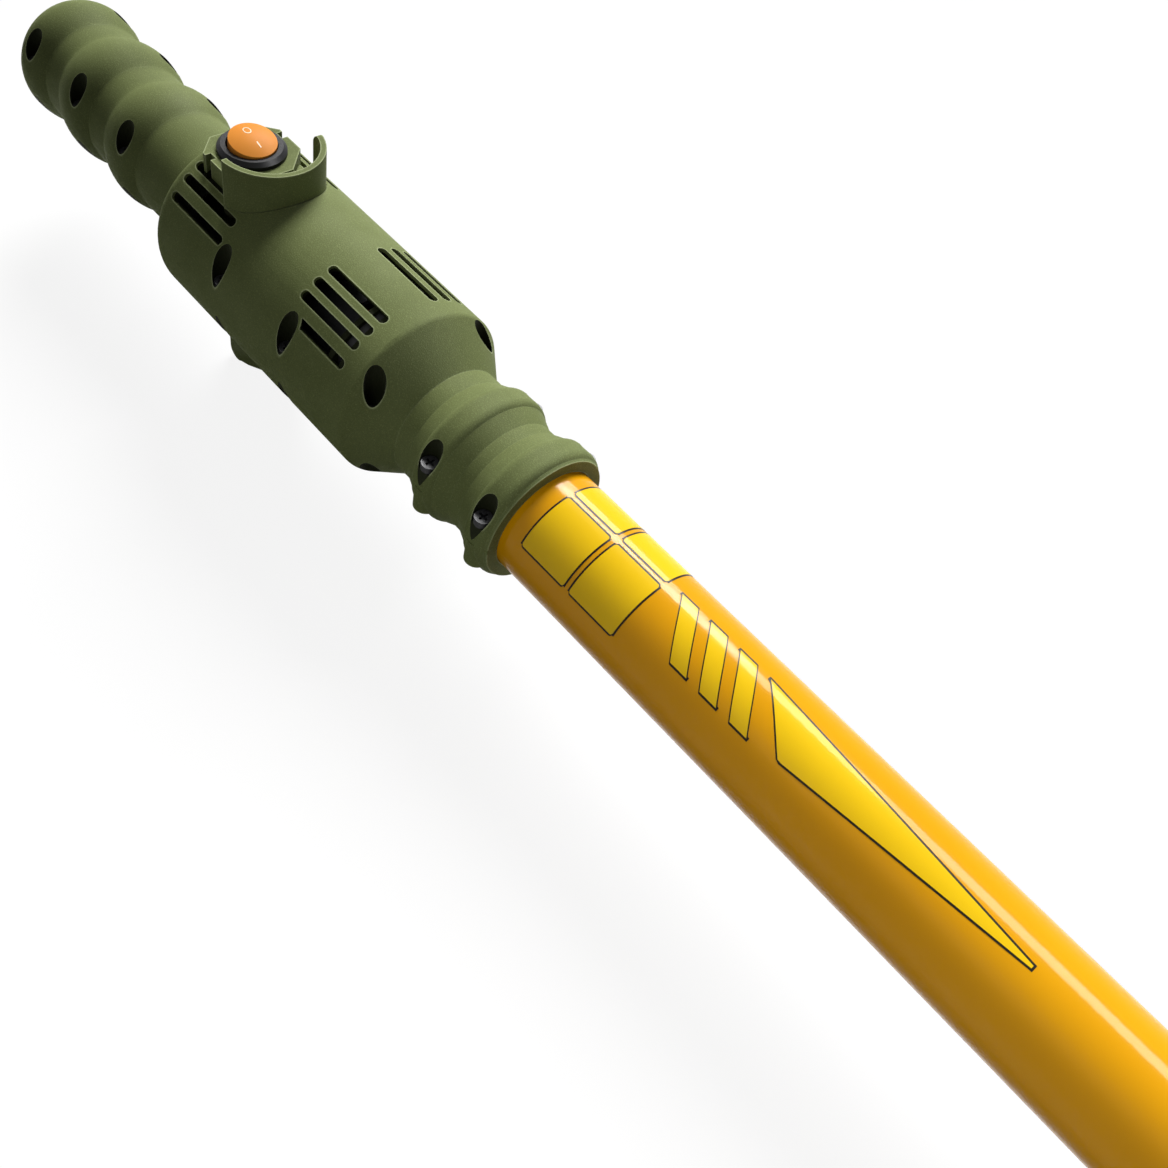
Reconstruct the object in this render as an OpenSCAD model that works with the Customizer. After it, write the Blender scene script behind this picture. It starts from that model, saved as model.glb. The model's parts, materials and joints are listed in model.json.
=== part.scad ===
// Electric olive harvester: motor handle, pole and a head with two combs that swing against each other.
// Lengths are in millimetres. Inside the modules the pole's axis is X and the handle's front face is x = 0.

/* [Pole] */
// Outer diameter of the pole
pole_d = 36; // [34:0.5:38]
// Wall of the pole
pole_wall = 1.5; // [1:0.1:2.5]
// Length of pole that shows between the handle and the head
pole_free = 640; // [300:10:2500]
// Length of pole inside the handle
pole_insert = 48; // [46:1:49]
// Radial clearance of the pole in its sockets
pole_clear = 0.15; // [0.1:0.05:0.3]

/* [Handle body] */
// Diameter of the motor body
body_d = 60.4; // [59:0.2:64]
// Length of the motor body between its two edges
body_len = 103.5; // [100:0.5:115]
// Wall of the shells
shell_wall = 2.5; // [2:0.1:3]
// Rounding of the body's rear edge
body_rear_round = 4; // [2:0.5:5]
// Rounding of the body's front edge
body_front_round = 3; // [1:0.5:4]
// Length of the cone in front of the body
cone_len = 14; // [13:0.5:16]
// Length of the nose from the cone's foot to the front face
nose_len = 46; // [44:0.5:50]
// Thickness of the nose around the pole
nose_wall = 2.05; // [1.8:0.05:2.5]
// Height of the two nose rings above the nose
ring_rise = 3.35; // [3:0.05:4]
// Rounding of the nose rings
ring_round = 3.2; // [2.5:0.1:3.4]

/* [Grip] */
// Diameter of the grip between the bulges
grip_d = 39; // [38:0.2:40]
// Diameter of the grip's bulges
bulge_d = 44.2; // [43:0.2:46]
// Distance from bulge to bulge
bulge_pitch = 30.8; // [29:0.2:34]
// Distance from the body's rear edge to the first bulge
bulge_start = 40; // [38:0.5:45]
// Rounding of the tail
tail_round = 10; // [8:0.5:12]
// Diameter of the hollow in the grip
grip_bore_d = 33; // [30:0.5:34]

/* [Vents] */
// Width of a vent slot
slot_w = 3.2; // [2.5:0.1:3.5]
// Length of a vent slot
slot_len = 28; // [20:0.5:30]
// Angle between neighbouring slots
slot_step = 10.8; // [10.4:0.2:11.4]
// Angle of the first slot from the top
slot_first = 17.5; // [17:0.5:18.5]
// Angle of the outermost slot from the top
slot_outer = 52.5; // [51.5:0.5:53]
// Distance of the front slots from the body's front edge
slot_front_gap = 7; // [5:0.5:12]
// Distance of the rear slots from the body's rear edge
slot_rear_gap = 4.5; // [4:0.5:8]

/* [Shell screws] */
// Diameter of the screw shank
screw_d = 2.9; // [2.5:0.1:3]
// Diameter of the screw head
screw_head_d = 5.4; // [5:0.1:5.8]
// Height of the screw head
screw_head_h = 2.4; // [2:0.1:3]
// Diameter of the wells that the screws sit in
well_d = 6.4; // [6.2:0.1:6.8]
// Length of the shank below the head
screw_len = 13; // [11:0.5:14]
// Diametral clearance of the shank in the shells
screw_clear = 0.2; // [0.1:0.05:0.3]
// Thickness of a screw boss around its hole
boss_wall = 2.4; // [2:0.1:3]

/* [Switch] */
// Diameter of the switch's panel hole
switch_hole_d = 19; // [18.6:0.1:19.4]
// Diameter of the bezel
bezel_d = 21.8; // [21.2:0.1:23]
// Thickness of the bezel
bezel_h = 2.4; // [2:0.1:3]
// Diameter of the rocker
rocker_d = 15.2; // [14.6:0.1:15.6]
// Height of the rocker's rim above its pivot
rocker_rim = 3.6; // [3.4:0.1:4.2]
// Angle of the rocker from level to either stop
rocker_tilt = 9; // [7:0.5:10]
// Distance of the switch from the body's rear edge
switch_setback = 13.5; // [13:0.5:16]
// Height of the switch seat above the body's crown
seat_rise = 1.8; // [1.5:0.1:3]
// Width of the octagonal switch seat
seat_w = 28; // [27:0.5:29]
// Radius of the guard's outer face
guard_r = 17.4; // [17:0.1:18.5]
// Wall of the guard
guard_wall = 1.9; // [1.5:0.1:2.2]
// Height of the guard's rim above the switch seat
guard_rise = 8.6; // [6:0.2:10]
// Distance of the guard's centre ahead of the switch
guard_ahead = 9.8; // [8:0.2:12]
// Angle that the guard reaches round to each side of the front
guard_half_angle = 87; // [75:1:89]

/* [Cable inlet] */
// Distance of the inlet boss's rear face from the body's rear edge
inlet_setback = 7.5; // [6:0.5:10]
// Length of the inlet boss
inlet_len = 46; // [40:0.5:50]
// Width of the inlet boss
inlet_w = 18.5; // [18:0.5:22]
// Depth of the inlet boss below the body
inlet_drop = 23.8; // [22:0.1:26]
// Bore of the grommet
grommet_bore_d = 7.2; // [6:0.1:7.6]
// Outer diameter of the grommet in the boss
grommet_d = 11; // [10.5:0.1:11.4]
// Length of the grommet in the boss
grommet_len = 10; // [8:0.5:11]

/* [Motor] */
// Diameter of the motor can
motor_d = 37; // [36:0.5:38]
// Clearance between the motor's fan and the switch
fan_clear = 1.6; // [1.2:0.1:3]
// Distance of the motor from the body's front edge
motor_gap = 13; // [12:0.5:15]
// Diameter of the motor shaft
motor_shaft_d = 5; // [4:0.1:6]
// Diameter of the motor's bearings
motor_bearing_d = 11; // [10:0.5:12]
// Radial running clearance of shafts in bearings
run_clear = 0.05; // [0.02:0.01:0.1]
// Clearance of pieces that are fixed to each other
seat_clear = 0.02; // [0.01:0.01:0.05]
// Number of fan blades
fan_blades = 7; // [5:1:9]

/* [Drive] */
// Diameter of the long drive shaft
drive_d = 8; // [7:0.2:9]
// Diameter of the shaft coupling
coupling_d = 16; // [14:0.5:18]
// Number of shaft bushes in the pole
bush_count = 3; // [2:1:8]
// Gear module
gear_module = 1; // [0.9:0.05:1.1]
// Teeth of the pinion
pinion_teeth = 12; // [12:1:14]
// Teeth of the driven gear
gear_teeth = 36; // [34:1:38]
// Width of the gears
gear_w = 8; // [6:0.5:9]

/* [Head] */
// Length of pole inside the head
socket_len = 45; // [40:1:55]
// Wall of the head case
case_wall = 3; // [2.5:0.1:4]
// Half width of the head case
case_half_w = 36; // [35:0.5:40]
// Diameter of the comb pivot pin
pivot_d = 10; // [9:0.5:11]

/* [Combs] */
// Number of fingers on a comb
finger_count = 5; // [3:2:7]
// Length of a finger outside the comb
finger_len = 250; // [150:5:300]
// Diameter of a finger
finger_d = 6; // [5:0.5:6.5]
// Distance between finger roots
finger_pitch = 23; // [18:1:26]
// Distance from the pivot to the combs' cross bars
comb_reach = 56; // [54:1:66]
// Angle between neighbouring fingers
finger_fan = 4.5; // [2:0.5:6]
// Swing of a comb to each side
comb_swing = 11; // [8:1:11]
// Thickness of a comb's plate
comb_t = 9; // [8:0.5:9]

/* [Hidden] */
$fn = 64;
eps = 0.01;
over = 1;

// Handle stations along the pole's axis
body_r = body_d / 2;
pole_r = pole_d / 2;
pole_bore_r = pole_r - pole_wall;
socket_r = pole_r + pole_clear;
nose_r = pole_r + nose_wall;
ring_r = nose_r + ring_rise;
x_cone_foot = -nose_len;
x_body_front = x_cone_foot - cone_len;
x_body_rear = x_body_front - body_len;
bulge_count = 3;
bulge_r = bulge_d / 2;
bulge_x = [for (i = [0 : bulge_count - 1]) x_body_rear - bulge_start - i * bulge_pitch];
x_last = bulge_x[bulge_count - 1] + 1;
x_tail = x_last - tail_round;
x_grip_end = x_tail + 2 * shell_wall;
grip_bore_r = grip_bore_d / 2;
hollow_r = body_r - shell_wall;
x_hollow_rear = x_body_rear + shell_wall;
stop_lip = 2;
stop_w = 3;

// The two nose rings: centre and half width of the flat crown
ring_1_x = -nose_len * 0.65;
ring_2_x = -5.6;
ring_flat = 2.2;
ring_foot = 10;

// Shell screws: place along the axis, distance from the middle, height of the head's seat
ring_screw_y = pole_r + screw_d / 2 + 0.6;
grip_screw_y = bulge_r - 4.6;
body_screw_y = body_r - 3.9;
cone_screw_y = body_r - 9.7;
ring_seat_z = 7;
grip_seat_z = 4;
body_seat_z = 5;
grip_screw_ahead = 3;
cone_screw_back = 3.6;
body_screw_1 = x_body_rear + 36;
body_screw_2 = x_body_front - 32;
screw_sites = concat(
    [for (x = bulge_x) [x + grip_screw_ahead, grip_screw_y, grip_seat_z]],
    [[body_screw_1, body_screw_y, body_seat_z], [body_screw_2, body_screw_y, body_seat_z]],
    [[x_body_front + cone_screw_back, cone_screw_y, body_seat_z]],
    [[ring_1_x, ring_screw_y, ring_seat_z], [ring_2_x, ring_screw_y, ring_seat_z]]);
boss_r = well_d / 2 + boss_wall / 2;
ear_depth = 9.5;
ear_r = 3.8;
low_well_z = -10;
low_well_d = 6;

// Vents
slot_front_x = x_body_front - slot_front_gap - slot_len;
slot_rear_x = x_body_rear + slot_rear_gap;
slot_angles = [slot_first, slot_first + slot_step, slot_first + 2 * slot_step, slot_outer];
front_slots = [0, 1, 2, 3];
rear_slots = [1, 2, 3];

// Switch
seat_z = body_r + seat_rise;
x_switch = x_body_rear + switch_setback;
x_guard = x_switch + guard_ahead;
panel_t = 3;
pocket_r = seat_w / 2 - 2;
switch_r = switch_hole_d / 2 - 0.1;
switch_depth = 17;
rocker_r = rocker_d / 2;
rocker_gap = 0.55;
cavity_r = rocker_r + rocker_gap;
cavity_depth = 9;
rocker_z = seat_z + 0.6;
trunnion_r = 1;
trunnion_reach = cavity_r + 0.5;
terminal_w = 6.3;
terminal_t = 0.8;
terminal_len = 8;

// Cable inlet
inlet_z = -body_r - inlet_drop / 2;
x_inlet = x_body_rear + inlet_setback;
inlet_floor = -body_r - inlet_drop;
grommet_flange = 2;
grommet_flange_r = grommet_d / 2 + 2;
inlet_round = 4;

// Motor
motor_r = motor_d / 2;
motor_wall = 1.5;
bell_t = 4;
fan_w = 6;
fan_gap = 2;
x_motor = x_body_front - motor_gap;
x_fan = x_switch + switch_r + fan_clear;
x_motor_rear = x_fan + fan_w + fan_gap + bell_t;
motor_len = x_motor - x_motor_rear;
bell_spigot = 4;
bearing_r = motor_bearing_d / 2;
bearing_len = 6;
shaft_r = motor_shaft_d / 2;
magnet_t = 3;
magnet_end = 10;
magnet_len = motor_len - 2 * magnet_end;
magnet_mid = x_motor - motor_len * 0.5;
armature_r = motor_r - motor_wall - magnet_t - 0.6;
armature_end = 12;
armature_len = motor_len - 2 * armature_end;
armature_slots = 5;
commutator_r = 5.5;
commutator_len = 7;
commutator_x = magnet_mid - armature_len / 2 - 2 - commutator_len;
fan_r = motor_r - 1;
fan_hub_r = 5;
plate_t = 3;
plate_r = hollow_r - pole_clear;
plate_half_w = body_screw_y - boss_r - 0.5;
mount_screw_y = 8;
mount_screw_r = 1.5;
cushion_w = 8;
cushion_t = 2;
x_cushion = x_motor_rear + 6;
rib_t = 2;

// Drive
drive_r = drive_d / 2;
coupling_r = coupling_d / 2;
coupling_len = 24;
x_coupling = -pole_insert - 14;
x_joint = x_coupling + coupling_len / 2;
bush_w = 8;
bush_first = 30;
bush_end = 10;
gear_r = gear_module * gear_teeth / 2;
pinion_r = gear_module * pinion_teeth / 2;
crank_z = -(gear_r + pinion_r);

// Head stations
x_socket = pole_free;
x_pole_end = pole_free + socket_len;
x_case = x_pole_end + 5;
bearing_wall = 7;
x_bearing_1 = x_case + 12;
x_gear = x_bearing_1 + bearing_wall + 2;
x_bearing_2 = x_gear + gear_w + 2;
eccentric_w = 8;
x_ecc_a = x_bearing_2 + bearing_wall + 5.5;
x_ecc_b = x_ecc_a + eccentric_w + 3;
lever_a = 32;
x_pivot = x_ecc_a + eccentric_w / 2 + lever_a;
lever_b = x_pivot - x_ecc_b - eccentric_w / 2;
crank_a = lever_a * sin(comb_swing);
crank_b = lever_b * sin(comb_swing);
eccentric_r = 6;
journal_r = 4;
head_bearing_r = 7;
comb_gap = 4;
case_floor = inlet_floor;
hump_top = nose_r + 3;
deck_in = crank_z + comb_gap + comb_t + 4;
deck_top = deck_in + case_wall;
gear_clear = 2;
well_in_z = crank_z - gear_r - gear_module - gear_clear;
cavity_floor = min(case_floor + case_wall, well_in_z);
x_case_open = x_pivot - 14;
x_case_front = x_pivot + 17;
case_half_in = case_half_w - case_wall;
case_screw_d = 4;
case_boss_r = 5;
case_screw_x = [x_case + 7, x_case_open - 8];
clamp_bolt_r = 3;
clamp_ear_t = 8;
clamp_slit = 3;
clamp_z = pole_r + 12;
x_clamp = x_socket + 14;
clamp_ear_r = 8;

// Combs
hub_r = 14;
comb_bush_r = pivot_d / 2 + 2;
pivot_r = pivot_d / 2;
bar_t = 4.5;
window_half = crank_a * 2 + eccentric_r + 1;
bar_half = 12;
finger_r = finger_d / 2;
x_bar = x_pivot + comb_reach;
bar_w = 16;
finger_seat = 12;
tip_r = finger_r + 1.5;
tip_len = 10;
finger_reach = bar_w - finger_seat + finger_len;
mid_finger = (finger_count - 1) / 2;
x_tip = x_bar + bar_w + finger_len + tip_r;

// The origin: middle of the length and width, on the surface that the tool lies on
mid_x = (x_tip + x_tail) / 2;

// Moves a piece from the pole's axis to the part's own origin
module place() {
    translate([-mid_x, 0, -inlet_floor])
        children();
}

// Round bar along X
module bar_x(x0, x1, r) {
    translate([x0, 0, 0])
        rotate([0, 90, 0])
            cylinder(h = x1 - x0, r = r);
}

// Round tube along X
module pipe_x(x0, x1, r_out, r_in) {
    difference() {
        bar_x(x0, x1, r_out);
        bar_x(x0 - over, x1 + over, r_in);
    }
}

// Shape turned about X from an outline of radius and station
module turned_x() {
    rotate([0, 90, 0])
        rotate_extrude()
            children();
}

// Half space above or below the parting plane
module half_space(up) {
    reach = 2 * bulge_d + body_len + nose_len + bulge_start + bulge_pitch * bulge_count;
    translate([-reach, -body_d, up ? 0 : -2 * body_d])
        cube([reach + over, 2 * body_d, 2 * body_d]);
}

// Outline of one nose ring: flat crown with round shoulders and sloping feet
module ring_outline(x) {
    low = nose_r - over;
    crown = ring_r - ring_round;
    for (side = [-1, 1])
        translate([crown, x + side * ring_flat])
            circle(r = ring_round);
    translate([low, x - ring_flat])
        square([ring_r - low, 2 * ring_flat]);
    intersection() {
        polygon([[low, x - ring_foot], [nose_r, x - ring_foot], [crown + ring_round * 0.7, x - ring_flat - 2],
            [crown + ring_round * 0.7, x + ring_flat + 2], [nose_r, x + ring_foot], [low, x + ring_foot]]);
        translate([0, x - ring_foot])
            square([ring_r, min(2 * ring_foot, ring_foot - x)]);
    }
}

// Outside of the closed handle
module handle_form() {
    fall = body_r - nose_r;
    slope = atan(fall / cone_len);
    set_back = body_front_round * tan(slope / 2);
    turned_x() {
        polygon([[0, x_body_rear], [body_r - body_rear_round, x_body_rear],
            [body_r, x_body_rear + body_rear_round], [body_r, x_body_front - set_back],
            [body_r - body_front_round * (1 - cos(slope)),
                x_body_front - set_back + body_front_round * sin(slope)],
            [nose_r, x_cone_foot], [nose_r, 0], [0, 0]]);
        translate([body_r - body_rear_round, x_body_rear + body_rear_round])
            circle(r = body_rear_round);
        translate([body_r - body_front_round, x_body_front - set_back])
            circle(r = body_front_round);
        ring_outline(ring_1_x);
        ring_outline(ring_2_x);
    }
    bar_x(x_last, x_body_rear + over, grip_d / 2);
    for (i = [0 : bulge_count - 2])
        translate([bulge_x[i], 0, 0])
            sphere(r = bulge_r);
    turned_x() {
        intersection() {
            translate([0, x_last])
                circle(r = bulge_r);
            translate([0, x_last])
                square([2 * bulge_r, 2 * bulge_r]);
        }
        translate([0, x_tail])
            square([bulge_r - tail_round, tail_round]);
        intersection() {
            translate([bulge_r - tail_round, x_last])
                circle(r = tail_round);
            translate([0, x_tail - over])
                square([2 * bulge_r, tail_round + over]);
        }
    }
}

// Inside of the closed handle
module handle_hollow() {
    turned_x()
        polygon([[0, x_hollow_rear], [hollow_r, x_hollow_rear], [hollow_r, x_body_front - over],
            [pole_r - stop_lip, -pole_insert - stop_w], [pole_r - stop_lip, -pole_insert],
            [socket_r, -pole_insert], [socket_r, over], [0, over]]);
    bar_x(x_grip_end, x_hollow_rear + over, grip_bore_r);
}

// Places its children at every shell screw, at the height of the head's seat
module at_screws() {
    for (site = screw_sites)
        for (side = [-1, 1])
            translate([site[0], side * site[1], site[2]])
                children();
}

// Bosses that the shell screws pass through, trimmed to the handle
module screw_bosses(up) {
    intersection() {
        handle_form();
        half_space(up);
        union() {
            for (site = screw_sites)
                if (site[1] != ring_screw_y)
                    for (side = [-1, 1])
                        translate([site[0], side * site[1], up ? 0 : -body_r])
                            cylinder(h = body_r, r = boss_r);
        }
    }
}

// Ribs that hold the motor's plate and its rubber cushion
module motor_ribs(up) {
    intersection() {
        half_space(up);
        union() {
            for (x = [x_motor - rib_t - pole_clear, x_motor + plate_t + pole_clear])
                pipe_x(x, x + rib_t, hollow_r + over, hollow_r - 3);
            pipe_x(x_cushion, x_cushion + cushion_w, hollow_r + over, motor_r + cushion_t + pole_clear);
        }
    }
}

// One vent slot with round ends, cut through the wall at an angle from the top
module vent_slot(angle, x, length) {
    rotate([-angle, 0, 0])
        translate([x, 0, hollow_r - over]) {
            translate([slot_w / 2, -slot_w / 2, 0])
                cube([length - slot_w, slot_w, 2 * shell_wall + over]);
            for (end = [slot_w / 2, length - slot_w / 2])
                translate([end, 0, 0])
                    cylinder(h = 2 * shell_wall + over, d = slot_w);
        }
}

// All vents of one shell
module vents(up) {
    short = slot_len - 5;
    for (side = [-1, 1]) {
        for (i = front_slots) {
            angle = side * slot_angles[i];
            length = i == 3 ? short : slot_len;
            vent_slot(up ? angle : 180 - angle, slot_front_x + slot_len - length, length);
        }
        for (i = rear_slots) {
            angle = side * slot_angles[i];
            vent_slot(up ? angle : 180 - angle, slot_rear_x, slot_len);
        }
    }
}

// Octagonal seat of the switch, with a notch on each side
module switch_seat() {
    inside = hollow_r - shell_wall;
    low = inside * 0.86;
    difference() {
        intersection() {
            translate([x_switch, 0, low])
                rotate([0, 0, 22.5])
                    cylinder(h = seat_z - low, d = seat_w / cos(22.5), $fn = 8);
            translate([x_body_rear + 1.5, -seat_w, 0])
                cube([seat_w, 2 * seat_w, 2 * body_r]);
        }
        translate([x_switch, 0, low - over])
            cylinder(h = seat_z - panel_t - low + over, r = pocket_r);
        for (side = [-1, 1])
            translate([x_switch - 4.5, side * seat_w / 2 - 2, body_r - 7])
                cube([3, 4, seat_rise + 7 + over]);
    }
}

// Guard wall round the front of the switch, with its two top corners rounded off
module switch_guard() {
    low = hollow_r * 0.5;
    rim = seat_z + guard_rise;
    round_r = 4;
    a = guard_half_angle;
    far = 2 * guard_r;
    difference() {
        translate([x_guard, 0, low])
            intersection() {
                difference() {
                    cylinder(h = rim - low, r = guard_r);
                    translate([0, 0, -over])
                        cylinder(h = rim - low + 2 * over, r = guard_r - guard_wall);
                }
                linear_extrude(height = rim)
                    polygon([[0, 0], [far * cos(a), -far * sin(a)], [far, -far], [far, far],
                        [far * cos(a), far * sin(a)]]);
            }
        handle_hollow();
        for (side = [-1, 1])
            translate([x_guard, 0, rim - round_r])
                rotate([0, 0, side * a])
                    translate([guard_r, 0, 0])
                        rotate([0, -90, 0])
                            guard_corner(round_r, side);
    }
}

// Waste outside a quarter round, as deep as the guard's wall
module guard_corner(r, side) {
    translate([0, 0, -guard_wall])
        difference() {
            translate([0, side > 0 ? -r : -over, 0])
                cube([r + over, r + over, 3 * guard_wall]);
            translate([0, -side * (r - 0.1), -over])
                cylinder(h = 3 * guard_wall + 2 * over, r = r);
        }
}

// Boss below the body that the supply cable enters, sloping at the front
module inlet_boss() {
    top = -hollow_r * 0.8;
    x_round = x_inlet + inlet_round;
    z_round = inlet_floor + inlet_round;
    difference() {
        translate([0, inlet_w / 2, 0])
            rotate([90, 0, 0])
                linear_extrude(height = inlet_w) {
                    polygon([[x_inlet, z_round], [x_round, inlet_floor],
                        [x_inlet + inlet_len * 0.25, inlet_floor + inlet_drop * 0.12],
                        [x_inlet + inlet_len * 0.5, inlet_floor + inlet_drop * 0.38],
                        [x_inlet + inlet_len, -body_r], [x_inlet + inlet_len, top], [x_inlet, top]]);
                    translate([x_round, z_round])
                        circle(r = inlet_round);
                }
        handle_hollow();
    }
}

// Cable way: grommet bore from the rear and a shaft up into the body
module inlet_way() {
    way_r = grommet_d / 2 + seat_clear;
    translate([0, 0, inlet_z]) {
        bar_x(x_inlet - over, x_inlet + grommet_len + 2, way_r);
        translate([x_inlet + grommet_len + 2 - way_r, 0, 0])
            cylinder(h = body_r, r = way_r - 1);
    }
}

module upper_shell() {
    color([0.33, 0.38, 0.22])
        place()
            difference() {
                union() {
                    intersection() {
                        difference() {
                            handle_form();
                            handle_hollow();
                            vents(true);
                        }
                        half_space(true);
                    }
                    screw_bosses(true);
                    motor_ribs(true);
                    switch_seat();
                    switch_guard();
                }
                at_screws() {
                    cylinder(h = body_d, d = well_d);
                    translate([0, 0, -screw_len])
                        cylinder(h = body_d, d = screw_d + screw_clear);
                }
                translate([x_switch, 0, hollow_r * 0.5])
                    cylinder(h = body_r, d = switch_hole_d);
                bar_x(-pole_insert, over, socket_r);
            }
}

// Ears under the nose rings that take the front screws
module ring_ears() {
    for (x = [ring_1_x, ring_2_x])
        for (side = [-1, 1])
            translate([x, side * ring_screw_y, -ear_depth])
                cylinder(h = ear_depth, r = ear_r);
}

// Wells from below, opposite the screws of the body and the cone
module low_wells() {
    for (site = screw_sites)
        if (site[2] == body_seat_z)
            for (side = [-1, 1])
                translate([site[0], side * site[1], low_well_z - body_r])
                    cylinder(h = body_r, d = low_well_d);
}

module lower_shell() {
    color([0.31, 0.36, 0.21])
        place()
            difference() {
                union() {
                    intersection() {
                        difference() {
                            handle_form();
                            handle_hollow();
                            vents(false);
                        }
                        half_space(false);
                    }
                    screw_bosses(false);
                    motor_ribs(false);
                    ring_ears();
                    inlet_boss();
                }
                at_screws()
                    translate([0, 0, -screw_len - 0.5])
                        cylinder(h = body_d, d = screw_d + screw_clear);
                low_wells();
                inlet_way();
                bar_x(-pole_insert, over, socket_r);
            }
}

module shell_screws() {
    color([0.2, 0.2, 0.21])
        place()
            at_screws()
                difference() {
                    union() {
                        cylinder(h = screw_head_h, d = screw_head_d);
                        translate([0, 0, -screw_len])
                            cylinder(h = screw_len + eps, d = screw_d);
                    }
                    for (turn = [0, 90])
                        rotate([0, 0, turn])
                            translate([-screw_head_d * 0.3, -0.4, screw_head_h - 1.2])
                                cube([screw_head_d * 0.6, 0.8, 2]);
                }
}

module switch_housing() {
    color([0.07, 0.07, 0.08])
        place()
            translate([x_switch, 0, seat_z])
                difference() {
                    union() {
                        cylinder(h = bezel_h / 2, d = bezel_d);
                        translate([0, 0, bezel_h / 2])
                            cylinder(h = bezel_h / 2, d1 = bezel_d, d2 = bezel_d - bezel_h);
                        translate([0, 0, -switch_depth])
                            cylinder(h = switch_depth + eps, r = switch_r);
                    }
                    translate([0, 0, -cavity_depth])
                        cylinder(h = cavity_depth + bezel_h + over, r = cavity_r);
                    translate([0, 0, rocker_z - seat_z])
                        rotate([90, 0, 0])
                            cylinder(h = 2 * trunnion_reach + 0.2, r = trunnion_r + run_clear, center = true);
                    for (x = [-4, 4])
                        translate([x - terminal_t / 2 - seat_clear, -terminal_w / 2 - seat_clear, -switch_depth - over])
                            cube([terminal_t + 2 * seat_clear, terminal_w + 2 * seat_clear, 6 + over]);
                }
}

// The rocker with its front side pressed in
module switch_rocker() {
    dome_r = rocker_r * 3;
    dome_rise = dome_r - sqrt(dome_r * dome_r - rocker_r * rocker_r);
    color([0.93, 0.47, 0.09])
        place()
            translate([x_switch, 0, rocker_z])
                rotate([0, rocker_tilt, 0]) {
                    intersection() {
                        translate([0, 0, -1.5])
                            cylinder(h = rocker_rim + dome_rise + 2, r = rocker_r);
                        translate([0, 0, rocker_rim + dome_rise - dome_r])
                            sphere(r = dome_r);
                    }
                    translate([0, 0, -5])
                        cylinder(h = 4, r = rocker_r * 0.7);
                    rotate([90, 0, 0])
                        cylinder(h = 2 * trunnion_reach, r = trunnion_r, center = true);
                }
}

module switch_terminals() {
    color([0.8, 0.65, 0.3])
        place()
            for (x = [-4, 4])
                translate([x_switch + x - terminal_t / 2, -terminal_w / 2, seat_z - switch_depth - terminal_len])
                    difference() {
                        cube([terminal_t, terminal_w, terminal_len + 5]);
                        translate([-over, terminal_w / 2, 2.5])
                            rotate([0, 90, 0])
                                cylinder(h = terminal_t + 2 * over, d = 1.7);
                    }
}

module cable_grommet() {
    color([0.05, 0.05, 0.05])
        place()
            translate([0, 0, inlet_z])
                difference() {
                    union() {
                        bar_x(x_inlet - grommet_flange, x_inlet, grommet_flange_r);
                        bar_x(x_inlet - eps, x_inlet + grommet_len, grommet_d / 2);
                    }
                    bar_x(x_inlet - grommet_flange - over, x_inlet + grommet_len + over, grommet_bore_d / 2);
                }
}

module motor_can() {
    color([0.62, 0.63, 0.65])
        place()
            difference() {
                bar_x(x_motor_rear, x_motor, motor_r);
                bar_x(x_motor_rear - over, x_motor - 3, motor_r - motor_wall);
                bar_x(x_motor_rear, x_motor + over, bearing_r + seat_clear);
                for (side = [-1, 1])
                    translate([0, side * mount_screw_y, 0])
                        bar_x(x_motor - 4, x_motor + over, mount_screw_r + seat_clear);
                for (turn = [0, 180])
                    rotate([turn, 0, 0])
                        translate([x_motor - 14, -4, motor_r - 2 * motor_wall])
                            cube([6, 8, 3 * motor_wall]);
            }
}

module motor_end_bell() {
    color([0.12, 0.12, 0.13])
        place()
            difference() {
                union() {
                    bar_x(x_motor_rear - bell_t, x_motor_rear, motor_r);
                    bar_x(x_motor_rear - eps, x_motor_rear + bell_spigot, motor_r - motor_wall - pole_clear);
                }
                bar_x(x_motor_rear - bell_t - over, x_motor_rear + bell_spigot + over, bearing_r + seat_clear);
                for (turn = [45 : 90 : 315])
                    rotate([turn, 0, 0])
                        translate([x_motor_rear - bell_t - over, -2.5, bearing_r + 3])
                            cube([bell_t + bell_spigot + 2 * over, 5, 5]);
            }
}

module motor_magnets() {
    r_out = motor_r - motor_wall - pole_clear;
    color([0.16, 0.15, 0.15])
        place()
            intersection() {
                pipe_x(magnet_mid - magnet_len / 2, magnet_mid + magnet_len / 2, r_out, r_out - magnet_t);
                for (side = [-1, 1])
                    translate([magnet_mid - magnet_len, side > 0 ? motor_r * 0.45 : -motor_r * 1.45, -motor_r])
                        cube([2 * magnet_len, motor_r, 2 * motor_r]);
            }
}

module motor_bearings() {
    color([0.72, 0.52, 0.28])
        place() {
            pipe_x(x_motor - bearing_len + 2, x_motor + 2, bearing_r, shaft_r + run_clear);
            pipe_x(x_motor_rear - bell_t - 0.5, x_motor_rear + bearing_len - bell_t, bearing_r, shaft_r + run_clear);
        }
}

module motor_plate() {
    color([0.7, 0.71, 0.73])
        place()
            difference() {
                intersection() {
                    bar_x(x_motor, x_motor + plate_t, plate_r);
                    translate([x_motor - over, -plate_half_w, -plate_r])
                        cube([plate_t + 2 * over, 2 * plate_half_w, 2 * plate_r]);
                }
                bar_x(x_motor - over, x_motor + plate_t + over, bearing_r + seat_clear);
                for (side = [-1, 1]) {
                    translate([0, side * mount_screw_y, 0])
                        bar_x(x_motor - over, x_motor + plate_t + over, mount_screw_r + seat_clear);
                    translate([0, 0, side * plate_r * 0.68])
                        bar_x(x_motor - over, x_motor + plate_t + over, 4);
                }
            }
}

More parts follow.
